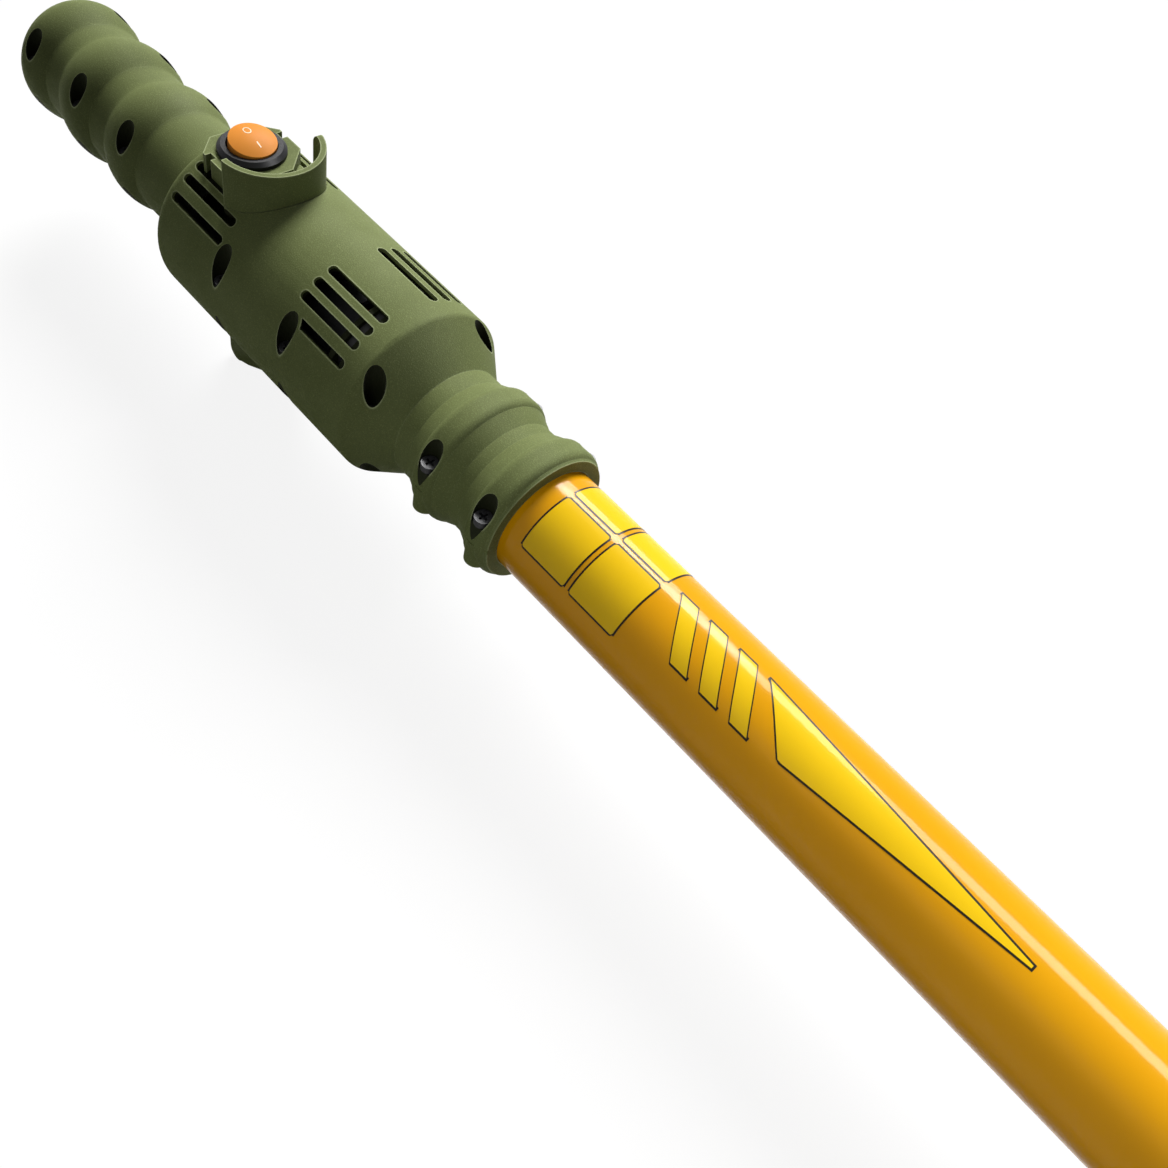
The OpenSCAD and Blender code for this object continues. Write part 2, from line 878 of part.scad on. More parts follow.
module motor_screws() {
    color([0.75, 0.75, 0.77])
        place()
            for (side = [-1, 1])
                translate([0, side * mount_screw_y, 0])
                    difference() {
                        union() {
                            bar_x(x_motor - 3, x_motor + plate_t + eps, mount_screw_r);
                            bar_x(x_motor + plate_t, x_motor + plate_t + 2, 2 * mount_screw_r * 0.8);
                        }
                        translate([x_motor + plate_t + 1, -0.4, -3])
                            cube([2, 0.8, 6]);
                    }
}

module motor_cushion() {
    color([0.06, 0.06, 0.06])
        place()
            pipe_x(x_cushion + pole_clear, x_cushion + cushion_w - pole_clear, motor_r + cushion_t, motor_r + seat_clear);
}

module motor_brushes() {
    color([0.1, 0.1, 0.1])
        place()
            for (side = [-1, 1])
                translate([commutator_x + 1.5, side > 0 ? commutator_r + 0.05 : -commutator_r - 8.05, -2])
                    cube([4, 8, 4]);
}

module motor_shaft() {
    color([0.78, 0.78, 0.8])
        place()
            bar_x(x_fan - 1, x_joint - 0.5, shaft_r);
}

module armature() {
    color([0.5, 0.33, 0.2])
        place()
            difference() {
                bar_x(magnet_mid - armature_len / 2, magnet_mid + armature_len / 2, armature_r);
                bar_x(magnet_mid - armature_len, magnet_mid + armature_len, shaft_r + seat_clear);
                for (i = [0 : armature_slots - 1])
                    rotate([i * 360 / armature_slots, 0, 0])
                        translate([magnet_mid - armature_len, -1.2, armature_r * 0.55])
                            cube([2 * armature_len, 2.4, armature_r]);
            }
}

module commutator() {
    color([0.75, 0.45, 0.25])
        place()
            pipe_x(commutator_x, commutator_x + commutator_len, commutator_r, shaft_r + seat_clear);
}

module cooling_fan() {
    color([0.15, 0.15, 0.16])
        place()
            difference() {
                union() {
                    bar_x(x_fan, x_fan + fan_w, fan_hub_r);
                    for (i = [0 : fan_blades - 1])
                        rotate([i * 360 / fan_blades, 0, 0])
                            translate([x_fan + fan_w / 2, 0, fan_hub_r - 1])
                                rotate([0, 0, 40])
                                    translate([-0.7, -fan_w * 0.55, 0])
                                        cube([1.4, fan_w * 1.1, fan_r - fan_hub_r]);
                }
                bar_x(x_fan - over, x_fan + fan_w + over, shaft_r + seat_clear);
            }
}

module shaft_coupling() {
    color([0.7, 0.7, 0.72])
        place()
            difference() {
                bar_x(x_coupling, x_coupling + coupling_len, coupling_r);
                bar_x(x_coupling - over, x_joint, shaft_r + seat_clear);
                bar_x(x_joint - eps, x_coupling + coupling_len + over, drive_r + seat_clear);
                for (x = [x_coupling + 6, x_coupling + coupling_len - 6])
                    translate([x, 0, 0])
                        cylinder(h = coupling_d, r = 1.6);
            }
}

module drive_shaft() {
    color([0.75, 0.75, 0.77])
        place()
            bar_x(x_joint + 0.5, x_gear + gear_w + 1, drive_r);
}

module shaft_bushes() {
    step = (x_pole_end - bush_first - bush_end) / bush_count;
    color([0.88, 0.87, 0.84])
        place()
            for (i = [0 : bush_count - 1])
                translate([bush_first + i * step, 0, 0])
                    difference() {
                        bar_x(0, bush_w, pole_bore_r - pole_clear);
                        bar_x(-over, bush_w + over, drive_r + run_clear);
                        for (turn = [0 : 60 : 300])
                            rotate([turn, 0, 0])
                                translate([0, 0, (pole_bore_r + drive_r) / 2])
                                    bar_x(-over, bush_w + over, (pole_bore_r - drive_r) / 4);
                    }
}

module pole_tube() {
    color([0.94, 0.62, 0.04])
        place()
            pipe_x(-pole_insert + pole_clear, x_pole_end, pole_r, pole_bore_r);
}

// Plan of the head case, grown or shrunk by a margin
module case_plan(margin) {
    w = case_half_w + margin;
    neck = nose_r + 3 + margin;
    x_wide = x_case + 30;
    polygon([[x_case - margin, -neck], [x_wide, -w], [x_pivot, -w], [x_pivot, w], [x_wide, w],
        [x_case - margin, neck]]);
    intersection() {
        translate([x_pivot - 12, 0])
            circle(r = norm([12, w]));
        translate([x_pivot - over, -w])
            square([x_case_front + margin - x_pivot + over, 2 * w]);
    }
}

// Case of both halves together, with the room inside
module case_form() {
    difference() {
        union() {
            translate([0, 0, case_floor])
                linear_extrude(height = deck_top - case_floor)
                    case_plan(0);
            intersection() {
                translate([0, 0, case_floor])
                    linear_extrude(height = hump_top - case_floor)
                        case_plan(0);
                rotate([90, 0, 0])
                    translate([0, 0, -case_half_w])
                        linear_extrude(height = 2 * case_half_w)
                            polygon([[x_case, case_floor], [x_bearing_2 + bearing_wall + 12, case_floor],
                                [x_bearing_2 + bearing_wall + 12, deck_top - eps],
                                [x_bearing_2 + bearing_wall, hump_top], [x_case, hump_top]]);
            }
            for (x = case_screw_x)
                for (side = [-1, 1])
                    translate([x, side * case_screw_y(x), case_floor])
                        cylinder(h = deck_top - case_floor, r = case_boss_r);
        }
        translate([0, 0, cavity_floor])
            linear_extrude(height = deck_in - cavity_floor)
                difference() {
                    case_plan(-case_wall);
                    translate([x_case_open, -2 * case_half_w])
                        square([2 * case_half_w, 4 * case_half_w]);
                }
        translate([x_case_open - over, -2 * case_half_w, case_floor + case_wall])
            cube([2 * case_half_w, 4 * case_half_w, deck_in - case_floor - case_wall]);
        translate([x_case + case_wall, -gear_r - gear_clear, cavity_floor])
            cube([x_bearing_2 + bearing_wall - x_case - case_wall, 2 * (gear_r + gear_clear), hump_top - case_wall - cavity_floor]);
    }
}

// Distance of a case screw from the middle
function case_screw_y(x) = x < x_gear ? nose_r + 9 : case_half_w + 1;

// Walls that carry the bearings of the crank and the drive shaft
module bearing_walls() {
    for (x = [x_bearing_1, x_bearing_2])
        translate([x, -gear_r - gear_clear - over, cavity_floor - eps])
            cube([bearing_wall, 2 * (gear_r + gear_clear + over), hump_top - case_wall - cavity_floor + 2 * eps]);
}

// Bores for the bearings, the drive shaft and the pole's end
module case_bores() {
    for (x = [x_bearing_1, x_bearing_2])
        for (z = [0, crank_z])
            translate([0, 0, z])
                bar_x(x - over, x + bearing_wall + over, head_bearing_r + seat_clear);
    bar_x(x_case - over, x_case + case_wall + over, drive_r + 2);
    translate([x_pivot, 0, case_floor - over])
        cylinder(h = deck_top - case_floor + 2 * over, r = pivot_r + seat_clear);
    for (x = case_screw_x)
        for (side = [-1, 1])
            translate([x, side * case_screw_y(x), case_floor - over])
                cylinder(h = deck_top - case_floor - 4, d = case_screw_d + screw_clear);
}

module head_case() {
    color([0.33, 0.38, 0.22])
        place()
            difference() {
                union() {
                    intersection() {
                        union() {
                            case_form();
                            bearing_walls();
                        }
                        translate([x_case - over, -2 * case_half_w, crank_z])
                            cube([4 * case_half_w, 4 * case_half_w, hump_top - crank_z + over]);
                    }
                    bar_x(x_socket, x_case + eps, nose_r + 3);
                    for (side = [-1, 1])
                        translate([x_clamp, side * (clamp_slit + clamp_ear_t) / 2, 0])
                            clamp_ear();
                }
                case_bores();
                bar_x(x_socket - over, x_pole_end, socket_r);
                bar_x(x_pole_end - over, x_case + over, drive_r + 2);
                translate([x_socket - over, -clamp_slit / 2, 0])
                    cube([socket_len - 8, clamp_slit, clamp_z + 2 * clamp_ear_r]);
                translate([x_clamp, 0, clamp_z])
                    rotate([90, 0, 0])
                        cylinder(h = 4 * clamp_ear_t, r = clamp_bolt_r + seat_clear, center = true);
            }
}

// One ear of the pole clamp, round at the bolt
module clamp_ear() {
    rotate([90, 0, 0])
        linear_extrude(height = clamp_ear_t, center = true) {
            translate([0, clamp_z])
                circle(r = clamp_ear_r);
            translate([-clamp_ear_r, pole_r + 1])
                square([2 * clamp_ear_r, clamp_z - pole_r - 1]);
        }
}

module head_base() {
    color([0.31, 0.36, 0.21])
        place()
            difference() {
                intersection() {
                    union() {
                        case_form();
                        bearing_walls();
                    }
                    translate([x_case - over, -2 * case_half_w, case_floor - over])
                        cube([4 * case_half_w, 4 * case_half_w, crank_z - case_floor + over]);
                }
                case_bores();
                for (x = case_screw_x)
                    for (side = [-1, 1])
                        translate([x, side * case_screw_y(x), case_floor - over])
                            cylinder(h = 4 + over, d = 2 * case_screw_d);
            }
}

module case_screws() {
    color([0.2, 0.2, 0.21])
        place()
            for (x = case_screw_x)
                for (side = [-1, 1])
                    translate([x, side * case_screw_y(x), case_floor + 0.6])
                        difference() {
                            union() {
                                translate([0, 0, 0.4])
                                    cylinder(h = 3, d = 1.8 * case_screw_d);
                                cylinder(h = deck_top - case_floor - 7, d = case_screw_d);
                            }
                            translate([0, 0, -over])
                                cylinder(h = 2.4, d = case_screw_d * 0.9, $fn = 6);
                        }
}

module clamp_bolt() {
    half = clamp_slit / 2 + clamp_ear_t;
    color([0.75, 0.75, 0.77])
        place()
            translate([x_clamp, 0, clamp_z])
                rotate([90, 0, 0])
                    difference() {
                        union() {
                            translate([0, 0, -half - 7])
                                cylinder(h = 2 * half + 7, r = clamp_bolt_r);
                            translate([0, 0, half])
                                cylinder(h = 5, r = 2 * clamp_bolt_r * 0.85);
                        }
                        translate([0, 0, half + 2])
                            cylinder(h = 5, r = clamp_bolt_r * 0.9, $fn = 6);
                    }
}

module clamp_nut() {
    half = clamp_slit / 2 + clamp_ear_t;
    color([0.75, 0.75, 0.77])
        place()
            translate([x_clamp, half, clamp_z])
                rotate([-90, 0, 0])
                    difference() {
                        cylinder(h = 5, r = 2 * clamp_bolt_r * 0.95, $fn = 6);
                        translate([0, 0, -over])
                            cylinder(h = 7, r = clamp_bolt_r + seat_clear);
                    }
}

// Point of an involute at a given radius, as a half angle of the tooth there
function involute(a) = tan(a) * 180 / PI - a;
pressure = 20;
backlash = 0.25;
function tooth_half(r_pitch, teeth, r) =
    90 / teeth - backlash / r_pitch * 45 / PI + involute(pressure)
    - involute(acos(min(1, r_pitch * cos(pressure) / r)));

// A point turned about the middle
function turned(p, a) = [p[0] * cos(a) - p[1] * sin(a), p[0] * sin(a) + p[1] * cos(a)];

// Spur gear in the plane square to X, with a tooth or a gap at the top
module spur_gear(teeth, rise, root, on_gap) {
    r_pitch = gear_module * teeth / 2;
    r_tip = r_pitch + rise * gear_module;
    r_root = r_pitch - root * gear_module;
    steps = 4;
    low = max(r_root + 0.05, r_pitch * cos(pressure));
    radii = concat([r_root], [for (i = [0 : steps]) low + (r_tip - low) * i / steps]);
    half = [for (r = radii) tooth_half(r_pitch, teeth, max(r, low))];
    rise_side = [for (i = [0 : steps + 1]) radii[i] * [cos(half[i]), -sin(half[i])]];
    fall_side = [for (i = [steps + 1 : -1 : 0]) radii[i] * [cos(half[i]), sin(half[i])]];
    tooth = concat(rise_side, fall_side);
    start = 90 + (on_gap ? 180 / teeth : 0);
    translate([x_gear, 0, 0])
        rotate([90, 0, 90])
            linear_extrude(height = gear_w)
                polygon([for (i = [0 : teeth - 1]) for (p = tooth) turned(p, start + i * 360 / teeth)]);
}

module drive_pinion() {
    color([0.6, 0.6, 0.62])
        place()
            difference() {
                rotate([180, 0, 0])
                    spur_gear(pinion_teeth, 0.9, 1.2, false);
                bar_x(x_gear - over, x_gear + gear_w + over, drive_r + seat_clear);
            }
}

module driven_gear() {
    color([0.9, 0.88, 0.8])
        place()
            translate([0, 0, crank_z])
                difference() {
                    spur_gear(gear_teeth, 0.75, 1.3, true);
                    bar_x(x_gear - over, x_gear + gear_w + over, journal_r + seat_clear);
                    for (turn = [0 : 60 : 300])
                        rotate([turn, 0, 0])
                            translate([0, 0, gear_r * 0.6])
                                bar_x(x_gear - over, x_gear + gear_w + over, gear_r * 0.17);
                }
}

module head_bearings() {
    color([0.72, 0.52, 0.28])
        place() {
            for (x = [x_bearing_1, x_bearing_2])
                translate([0, 0, crank_z])
                    pipe_x(x, x + bearing_wall, head_bearing_r, journal_r + run_clear);
            pipe_x(x_bearing_1, x_bearing_1 + bearing_wall, head_bearing_r, drive_r + run_clear);
        }
}

module crank_shaft() {
    color([0.7, 0.7, 0.72])
        place()
            translate([0, 0, crank_z]) {
                bar_x(x_bearing_1 - 1, x_ecc_b + eccentric_w, journal_r);
                translate([0, 0, crank_a])
                    bar_x(x_ecc_a, x_ecc_a + eccentric_w, eccentric_r);
                translate([0, 0, -crank_b])
                    bar_x(x_ecc_b, x_ecc_b + eccentric_w, eccentric_r);
            }
}

module pivot_pin() {
    color([0.75, 0.75, 0.77])
        place()
            translate([x_pivot, 0, case_floor + 0.5]) {
                cylinder(h = deck_top - case_floor - 0.5, r = pivot_r);
                translate([0, 0, deck_top - case_floor - 0.5])
                    cylinder(h = 3, r = pivot_r + 3);
            }
}

module pivot_spacers() {
    gap = 0.3;
    low = case_floor + case_wall;
    color([0.88, 0.87, 0.84])
        place()
            for (span = [[low, crank_z - comb_gap - comb_t - gap], [crank_z - comb_gap + gap, crank_z + comb_gap - gap],
                [crank_z + comb_gap + comb_t + gap, deck_in]])
                translate([x_pivot, 0, span[0]])
                    difference() {
                        cylinder(h = span[1] - span[0], r = comb_bush_r + 1.5);
                        translate([0, 0, -over])
                            cylinder(h = span[1] - span[0] + 2 * over, r = pivot_r + run_clear);
                    }
}

// Comb in its own frame: pivot at the origin, fingers forward, plate from z = 0 up
module comb(x_lever, lever_len) {
    half_span = mid_finger * finger_pitch + 9;
    x_cross = x_bar - x_pivot;
    z_fork = 0.5 - comb_gap;
    difference() {
        union() {
            cylinder(h = comb_t, r = hub_r);
            linear_extrude(height = comb_t)
                polygon([[0, -hub_r], [x_cross * 0.6, -hub_r], [x_cross + 1, -half_span * 0.75],
                    [x_cross + 1, half_span * 0.75], [x_cross * 0.6, hub_r], [0, hub_r]]);
            translate([x_cross, -half_span, -1])
                cube([bar_w, 2 * half_span, comb_t + 2]);
            for (side = [-1, 1])
                translate([x_cross + bar_w / 2, side * half_span, -1])
                    cylinder(h = comb_t + 2, r = bar_w / 2);
            for (side = [-1, 1])
                translate([x_lever, side * (window_half + bar_t / 2) - bar_t / 2, 0]) {
                    cube([-x_lever - hub_r * 0.6, bar_t, comb_t]);
                    translate([0, 0, z_fork])
                        cube([lever_len, bar_t, comb_t - z_fork]);
                }
            translate([-hub_r * 0.95, -window_half - bar_t, 0])
                cube([hub_r * 0.5, 2 * (window_half + bar_t), comb_t]);
        }
        translate([0, 0, -over])
            cylinder(h = comb_t + 2 * over, r = comb_bush_r + seat_clear);
        translate([x_cross * 0.62, 0, -over])
            cylinder(h = comb_t + 2 * over, r = hub_r * 0.5);
        comb_fingers(finger_r + seat_clear, bar_w + over);
    }
}

// Fingers of a comb in the comb's frame, from their seat to a given reach past the cross bar's rear seat
module comb_fingers(r, reach) {
    for (i = [0 : finger_count - 1])
        translate([x_bar - x_pivot + bar_w - finger_seat, (i - mid_finger) * finger_pitch, comb_t / 2])
            rotate([0, 0, (i - mid_finger) * finger_fan])
                bar_x(0, reach, r);
}

// Rubber tips at the ends of the fingers, in the comb's frame
module comb_tips() {
    reach = finger_seat + finger_len;
    for (i = [0 : finger_count - 1])
        translate([x_bar - x_pivot + bar_w - finger_seat, (i - mid_finger) * finger_pitch, comb_t / 2])
            rotate([0, 0, (i - mid_finger) * finger_fan])
                difference() {
                    union() {
                        bar_x(reach - tip_len, reach, tip_r);
                        translate([reach, 0, 0])
                            sphere(r = tip_r);
                    }
                    bar_x(reach - tip_len - over, reach + seat_clear, finger_r + seat_clear);
                }
}

// Puts a comb above the crank, or below it and upside down
module at_comb(up) {
    translate([x_pivot, 0, crank_z])
        mirror([0, 0, up ? 0 : 1])
            translate([0, 0, comb_gap])
                children();
}

module comb_bush() {
    difference() {
        cylinder(h = comb_t, r = comb_bush_r);
        translate([0, 0, -over])
            cylinder(h = comb_t + 2 * over, r = pivot_r + run_clear);
    }
}

module upper_comb() {
    color([0.1, 0.1, 0.11])
        place()
            at_comb(true)
                comb(x_ecc_a - x_pivot, eccentric_w);
}

module lower_comb() {
    color([0.1, 0.1, 0.11])
        place()
            at_comb(false)
                comb(x_ecc_b - x_pivot, eccentric_w);
}

module upper_bush() {
    color([0.72, 0.52, 0.28])
        place()
            at_comb(true)
                comb_bush();
}

module lower_bush() {
    color([0.72, 0.52, 0.28])
        place()
            at_comb(false)
                comb_bush();
}

module upper_fingers() {
    color([0.08, 0.08, 0.08])
        place()
            at_comb(true)
                comb_fingers(finger_r, finger_seat + finger_len);
}

module lower_fingers() {
    color([0.08, 0.08, 0.08])
        place()
            at_comb(false)
                comb_fingers(finger_r, finger_seat + finger_len);
}

module upper_tips() {
    color([0.94, 0.62, 0.04])
        place()
            at_comb(true)
                comb_tips();
}

module lower_tips() {
    color([0.94, 0.62, 0.04])
        place()
            at_comb(false)
                comb_tips();
}

upper_shell();
lower_shell();
shell_screws();
switch_housing();
switch_rocker();
switch_terminals();
cable_grommet();
motor_can();
motor_end_bell();
motor_magnets();
motor_bearings();
motor_plate();
motor_screws();
motor_cushion();
motor_brushes();
motor_shaft();
armature();
commutator();
cooling_fan();
shaft_coupling();
drive_shaft();
shaft_bushes();
pole_tube();
head_case();
head_base();
case_screws();
clamp_bolt();
clamp_nut();
drive_pinion();
head_bearings();
driven_gear();
crank_shaft();
pivot_pin();
pivot_spacers();
upper_comb();
upper_bush();
upper_fingers();
upper_tips();
lower_comb();
lower_bush();
lower_fingers();
lower_tips();
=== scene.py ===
# %% [markdown]
# # An electric olive harvester
# The tool is a motor handle, a painted pole and a head with two combs. The solids come from the packed
# CAD model, which is loaded as a fixed frame. Everything below only dresses that frame: finishes for the
# solids, and thin or repeated pieces that are easier to shape in Blender. Lengths are in metres, in the
# frame of the CAD.

# %% Load the frame
import json
import math

import bmesh
import bpy
from mathutils import Matrix, Vector


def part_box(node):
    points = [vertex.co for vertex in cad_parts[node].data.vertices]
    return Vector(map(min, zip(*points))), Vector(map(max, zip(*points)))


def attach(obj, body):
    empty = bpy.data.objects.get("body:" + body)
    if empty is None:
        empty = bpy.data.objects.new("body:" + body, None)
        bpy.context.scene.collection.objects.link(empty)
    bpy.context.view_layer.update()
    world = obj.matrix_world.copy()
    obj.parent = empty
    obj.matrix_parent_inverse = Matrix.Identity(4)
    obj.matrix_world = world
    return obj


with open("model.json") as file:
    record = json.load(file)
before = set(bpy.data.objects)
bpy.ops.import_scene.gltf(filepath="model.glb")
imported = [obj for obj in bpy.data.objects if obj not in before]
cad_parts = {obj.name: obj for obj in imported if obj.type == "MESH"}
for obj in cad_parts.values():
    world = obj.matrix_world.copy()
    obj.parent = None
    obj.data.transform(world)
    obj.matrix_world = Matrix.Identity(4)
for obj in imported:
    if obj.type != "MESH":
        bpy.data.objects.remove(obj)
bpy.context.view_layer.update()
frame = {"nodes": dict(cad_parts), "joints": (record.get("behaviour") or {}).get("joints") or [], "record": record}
nodes = frame["nodes"]
joints = {joint["name"]: joint for joint in frame["joints"]}
MM = 0.001

print("nodes in the frame:", len(nodes))

# %% [markdown]
# ## Where things are
# Two stations carry the whole dressing: the front face of the handle, where the pole comes out, and the
# axis of the pole. Both are read from the solids, so the dressing follows if the CAD changes. `station`
# turns a place given from those two into the frame's own coordinates.

# %% Reference stations
shell_low, shell_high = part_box("upper_shell")
pole_low, pole_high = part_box("pole_tube")
HANDLE_FRONT = shell_high.x
POLE_AXIS_Z = (pole_low.z + pole_high.z) / 2
POLE_RADIUS = (pole_high.z - pole_low.z) / 2


def station(x_mm, y_mm, z_mm):
    """A place in millimetres from the handle's front face and the pole's axis, in the frame."""
    return Vector((HANDLE_FRONT + x_mm * MM, y_mm * MM, POLE_AXIS_Z + z_mm * MM))


def new_object(name, data):
    """An object of that name, linked into the scene."""
    thing = bpy.data.objects.new(name, data)
    bpy.context.scene.collection.objects.link(thing)
    return thing


print("handle front at x =", round(HANDLE_FRONT, 4), "pole radius", round(POLE_RADIUS, 4))

# %% [markdown]
# ## Camera
# The picture is taken from above the pole, close to the handle, so the pole grows towards the viewer. A
# camera can be aimed with a track constraint, but a matrix built from the three camera axes also fixes
# the roll, which a constraint leaves open. The lens is as long as the sensor is wide, a moderate wide
# angle.

# %% Camera
CAMERA_PLACE = station(139.1, -175.9, 261.4)
CAMERA_RIGHT = Vector((0.6623, 0.7270, 0.1813)).normalized()
CAMERA_UP = Vector((-0.6646, 0.4584, 0.5900)).normalized()
SENSOR_MM = 36
LENS_MM = 36
NEAREST_SEEN = 0.01

camera_data = bpy.data.cameras.new("photo_camera")
camera_data.sensor_width = SENSOR_MM
camera_data.lens = LENS_MM
camera_data.clip_start = NEAREST_SEEN
camera = new_object("photo_camera", camera_data)
camera_back = CAMERA_RIGHT.cross(CAMERA_UP)
camera_axes = Matrix((CAMERA_RIGHT, CAMERA_UP, camera_back)).transposed()
camera.matrix_world = Matrix.Translation(CAMERA_PLACE) @ camera_axes.to_4x4()
bpy.context.scene.camera = camera
print("camera at", [round(v, 3) for v in CAMERA_PLACE])

# %% [markdown]
# ## Colours
# Colours are easiest to judge as the 0 to 255 values that a screen shows, while shaders expect linear
# light. One small function converts them with the usual screen curve, so every finish can be read as a
# screen colour.


# %% Colour helper
def screen(red, green, blue):
    """A shader colour from screen values between 0 and 255."""
    def linear(value):
        value = value / 255
        return value / 12.92 if value <= 0.04045 else ((value + 0.055) / 1.055) ** 2.4
    return (linear(red), linear(green), linear(blue), 1.0)


WHITE = (1, 1, 1, 1)
print("middle grey in linear light:", round(screen(128, 128, 128)[0], 3))

# %% [markdown]
# ## Small node helpers
# Materials, the world and the boots further down are all node trees. A tree can be wired link by link,
# but then the idea gets lost in the wiring. These helpers make one node each, take sockets or plain
# values, and give back a socket, so that a chain of nodes reads like a formula.


# %% Values and numbers
def feed(tree, value, socket):
    """Link a socket to another one, or set a plain value on it."""
    if isinstance(value, bpy.types.NodeSocket):
        tree.links.new(value, socket)
    else:
        socket.default_value = value


def math_node(tree, operation, *values, clamp=False):
    """The result of a math node."""
    node = tree.nodes.new("ShaderNodeMath")
    node.operation = operation
    node.use_clamp = clamp
    for socket, value in zip(node.inputs, values):
        feed(tree, value, socket)
    return node.outputs["Value"]


def ramp(tree, value, low, high, first=0.0, last=1.0):
    """A number that goes from first to last while a value goes from low to high."""
    node = tree.nodes.new("ShaderNodeMapRange")
    for label, limit in (("From Min", low), ("From Max", high), ("To Min", first), ("To Max", last)):
        node.inputs[label].default_value = limit
    feed(tree, value, node.inputs["Value"])
    return node.outputs["Result"]


def mix(tree, kind, factor, first, second, blend="MIX"):
    """A blend of two colours (kind RGBA) or two directions (kind VECTOR)."""
    node = tree.nodes.new("ShaderNodeMix")
    node.data_type = kind
    node.blend_type = blend
    feed(tree, factor, node.inputs["Factor"])
    feed(tree, first, node.inputs["A"])
    feed(tree, second, node.inputs["B"])
    return node.outputs["Result"]


print("number helpers:", math_node.__name__, ramp.__name__, mix.__name__)

# %% [markdown]
# ## Helpers for places and shaders
# The same idea for places: one helper splits a place into its three coordinates, one joins them, and one
# measures or compares directions. The last two blend shaders and pick out mirror rays, for the floor and
# the world.


# %% Places and shaders
def split(tree, vector):
    """The X, Y and Z of a place."""
    node = tree.nodes.new("ShaderNodeSeparateXYZ")
    tree.links.new(vector, node.inputs["Vector"])
    return node.outputs


def join(tree, **parts):
    """A place from some of its coordinates; the others are 0."""
    node = tree.nodes.new("ShaderNodeCombineXYZ")
    for axis, value in parts.items():
        feed(tree, value, node.inputs[axis])
    return node.outputs["Vector"]


def vector_value(tree, operation, first, second):
    """A number from two vectors, such as their distance."""
    node = tree.nodes.new("ShaderNodeVectorMath")
    node.operation = operation
    feed(tree, first, node.inputs[0])
    feed(tree, second, node.inputs[1])
    return node.outputs["Value"]


def mix_shader(tree, factor, first, second):
    """A blend of two shaders."""
    node = tree.nodes.new("ShaderNodeMixShader")
    feed(tree, factor, node.inputs["Fac"])
    tree.links.new(first, node.inputs[1])
    tree.links.new(second, node.inputs[2])
    return node.outputs["Shader"]


def mirror_ray(tree, path):
    """A value of 1 for rays that come from a mirror-like surface or through glass."""
    return math_node(tree, "MAXIMUM", path["Is Glossy Ray"], path["Is Transmission Ray"])


print("place helpers:", split.__name__, join.__name__, vector_value.__name__)

# %% [markdown]
# ## Floor
# The tool lies on a plain ground. A plane of four corners is enough, and it is wide so that its edge
# stays out of sight from every side.

# %% Floor plane
FLOOR_HALF = 20.0

floor_corners = [(-FLOOR_HALF, -FLOOR_HALF, 0), (FLOOR_HALF, -FLOOR_HALF, 0),
                 (FLOOR_HALF, FLOOR_HALF, 0), (-FLOOR_HALF, FLOOR_HALF, 0)]
floor_mesh = bpy.data.meshes.new("floor")
floor_mesh.from_pydata(floor_corners, [], [(0, 1, 2, 3)])
floor = new_object("floor", floor_mesh)
print("floor width:", 2 * FLOOR_HALF)

# %% [markdown]
# ## What the floor shows
# A tool photographed on white has a bright ground but hardly any light coming back up from it. A plain
# white plane would light the underside strongly, so the floor's material tells rays apart: the camera
# sees a pale plane with a soft shadow, glossy surfaces mirror the same pale plane, and what lights the
# tool is a darker one.

# %% Floor material
FLOOR_DARK = (0.10, 0.10, 0.10, 1)
FLOOR_PALE = (0.92, 0.92, 0.92, 1)
FLOOR_GLOW_SHARE = 0.88

floor_material = bpy.data.materials.new("pale_floor")
floor_material.use_nodes = True
floor_tree = floor_material.node_tree
floor_path = floor_tree.nodes.new("ShaderNodeLightPath").outputs
floor_dark = floor_tree.nodes["Principled BSDF"]
floor_dark.inputs["Base Color"].default_value = FLOOR_DARK
floor_pale = floor_tree.nodes.new("ShaderNodeBsdfDiffuse")
floor_pale.inputs["Color"].default_value = FLOOR_PALE
pale_shader = floor_pale.outputs["BSDF"]
glow_shader = floor_tree.nodes.new("ShaderNodeEmission").outputs["Emission"]
floor_seen = mix_shader(floor_tree, FLOOR_GLOW_SHARE, pale_shader, glow_shader)
floor_mirror = mirror_ray(floor_tree, floor_path)
floor_light = mix_shader(floor_tree, floor_mirror, floor_dark.outputs["BSDF"], pale_shader)
floor_shader = mix_shader(floor_tree, floor_path["Is Camera Ray"], floor_light, floor_seen)
floor_tree.links.new(floor_shader, floor_tree.nodes["Material Output"].inputs["Surface"])
floor_mesh.materials.append(floor_material)
print("floor material nodes:", len(floor_tree.nodes))

# %% [markdown]
# ## Lamps
# A soft, even lamp high on the far side, a little behind the grip, gives the level and lets the near side
# fall off. It is a sun with a wide disc, so the whole length of the tool gets the same light. A long
# strip on the far side draws the thin bright line along the glossy pole: a highlight on a cylinder sits
# half way between the lamp's direction and the viewer's. The strip gives highlights only. A weak lamp on
# the near side of the pole does the opposite: it gives light without a highlight.

# %% Lamps
KEY_STRENGTH = 5.3
KEY_DISC = math.radians(30)
KEY_FROM = Vector((-0.95, 1.3, 1.42))
STRIP_AIM = station(0, 0, 0)
STRIP_FROM = Vector((0.3, 0.89, 1.2))
STRIP_SIZE = (0.42, 2.6)
STRIP_POWER = 84
FILL_AIM = station(195, 0, 0)
FILL_FROM = Vector((0.0, -0.35, 0.37))
FILL_SIZE = (0.2, 0.4)
FILL_POWER = 0.2
FILL_SPREAD = math.radians(70)


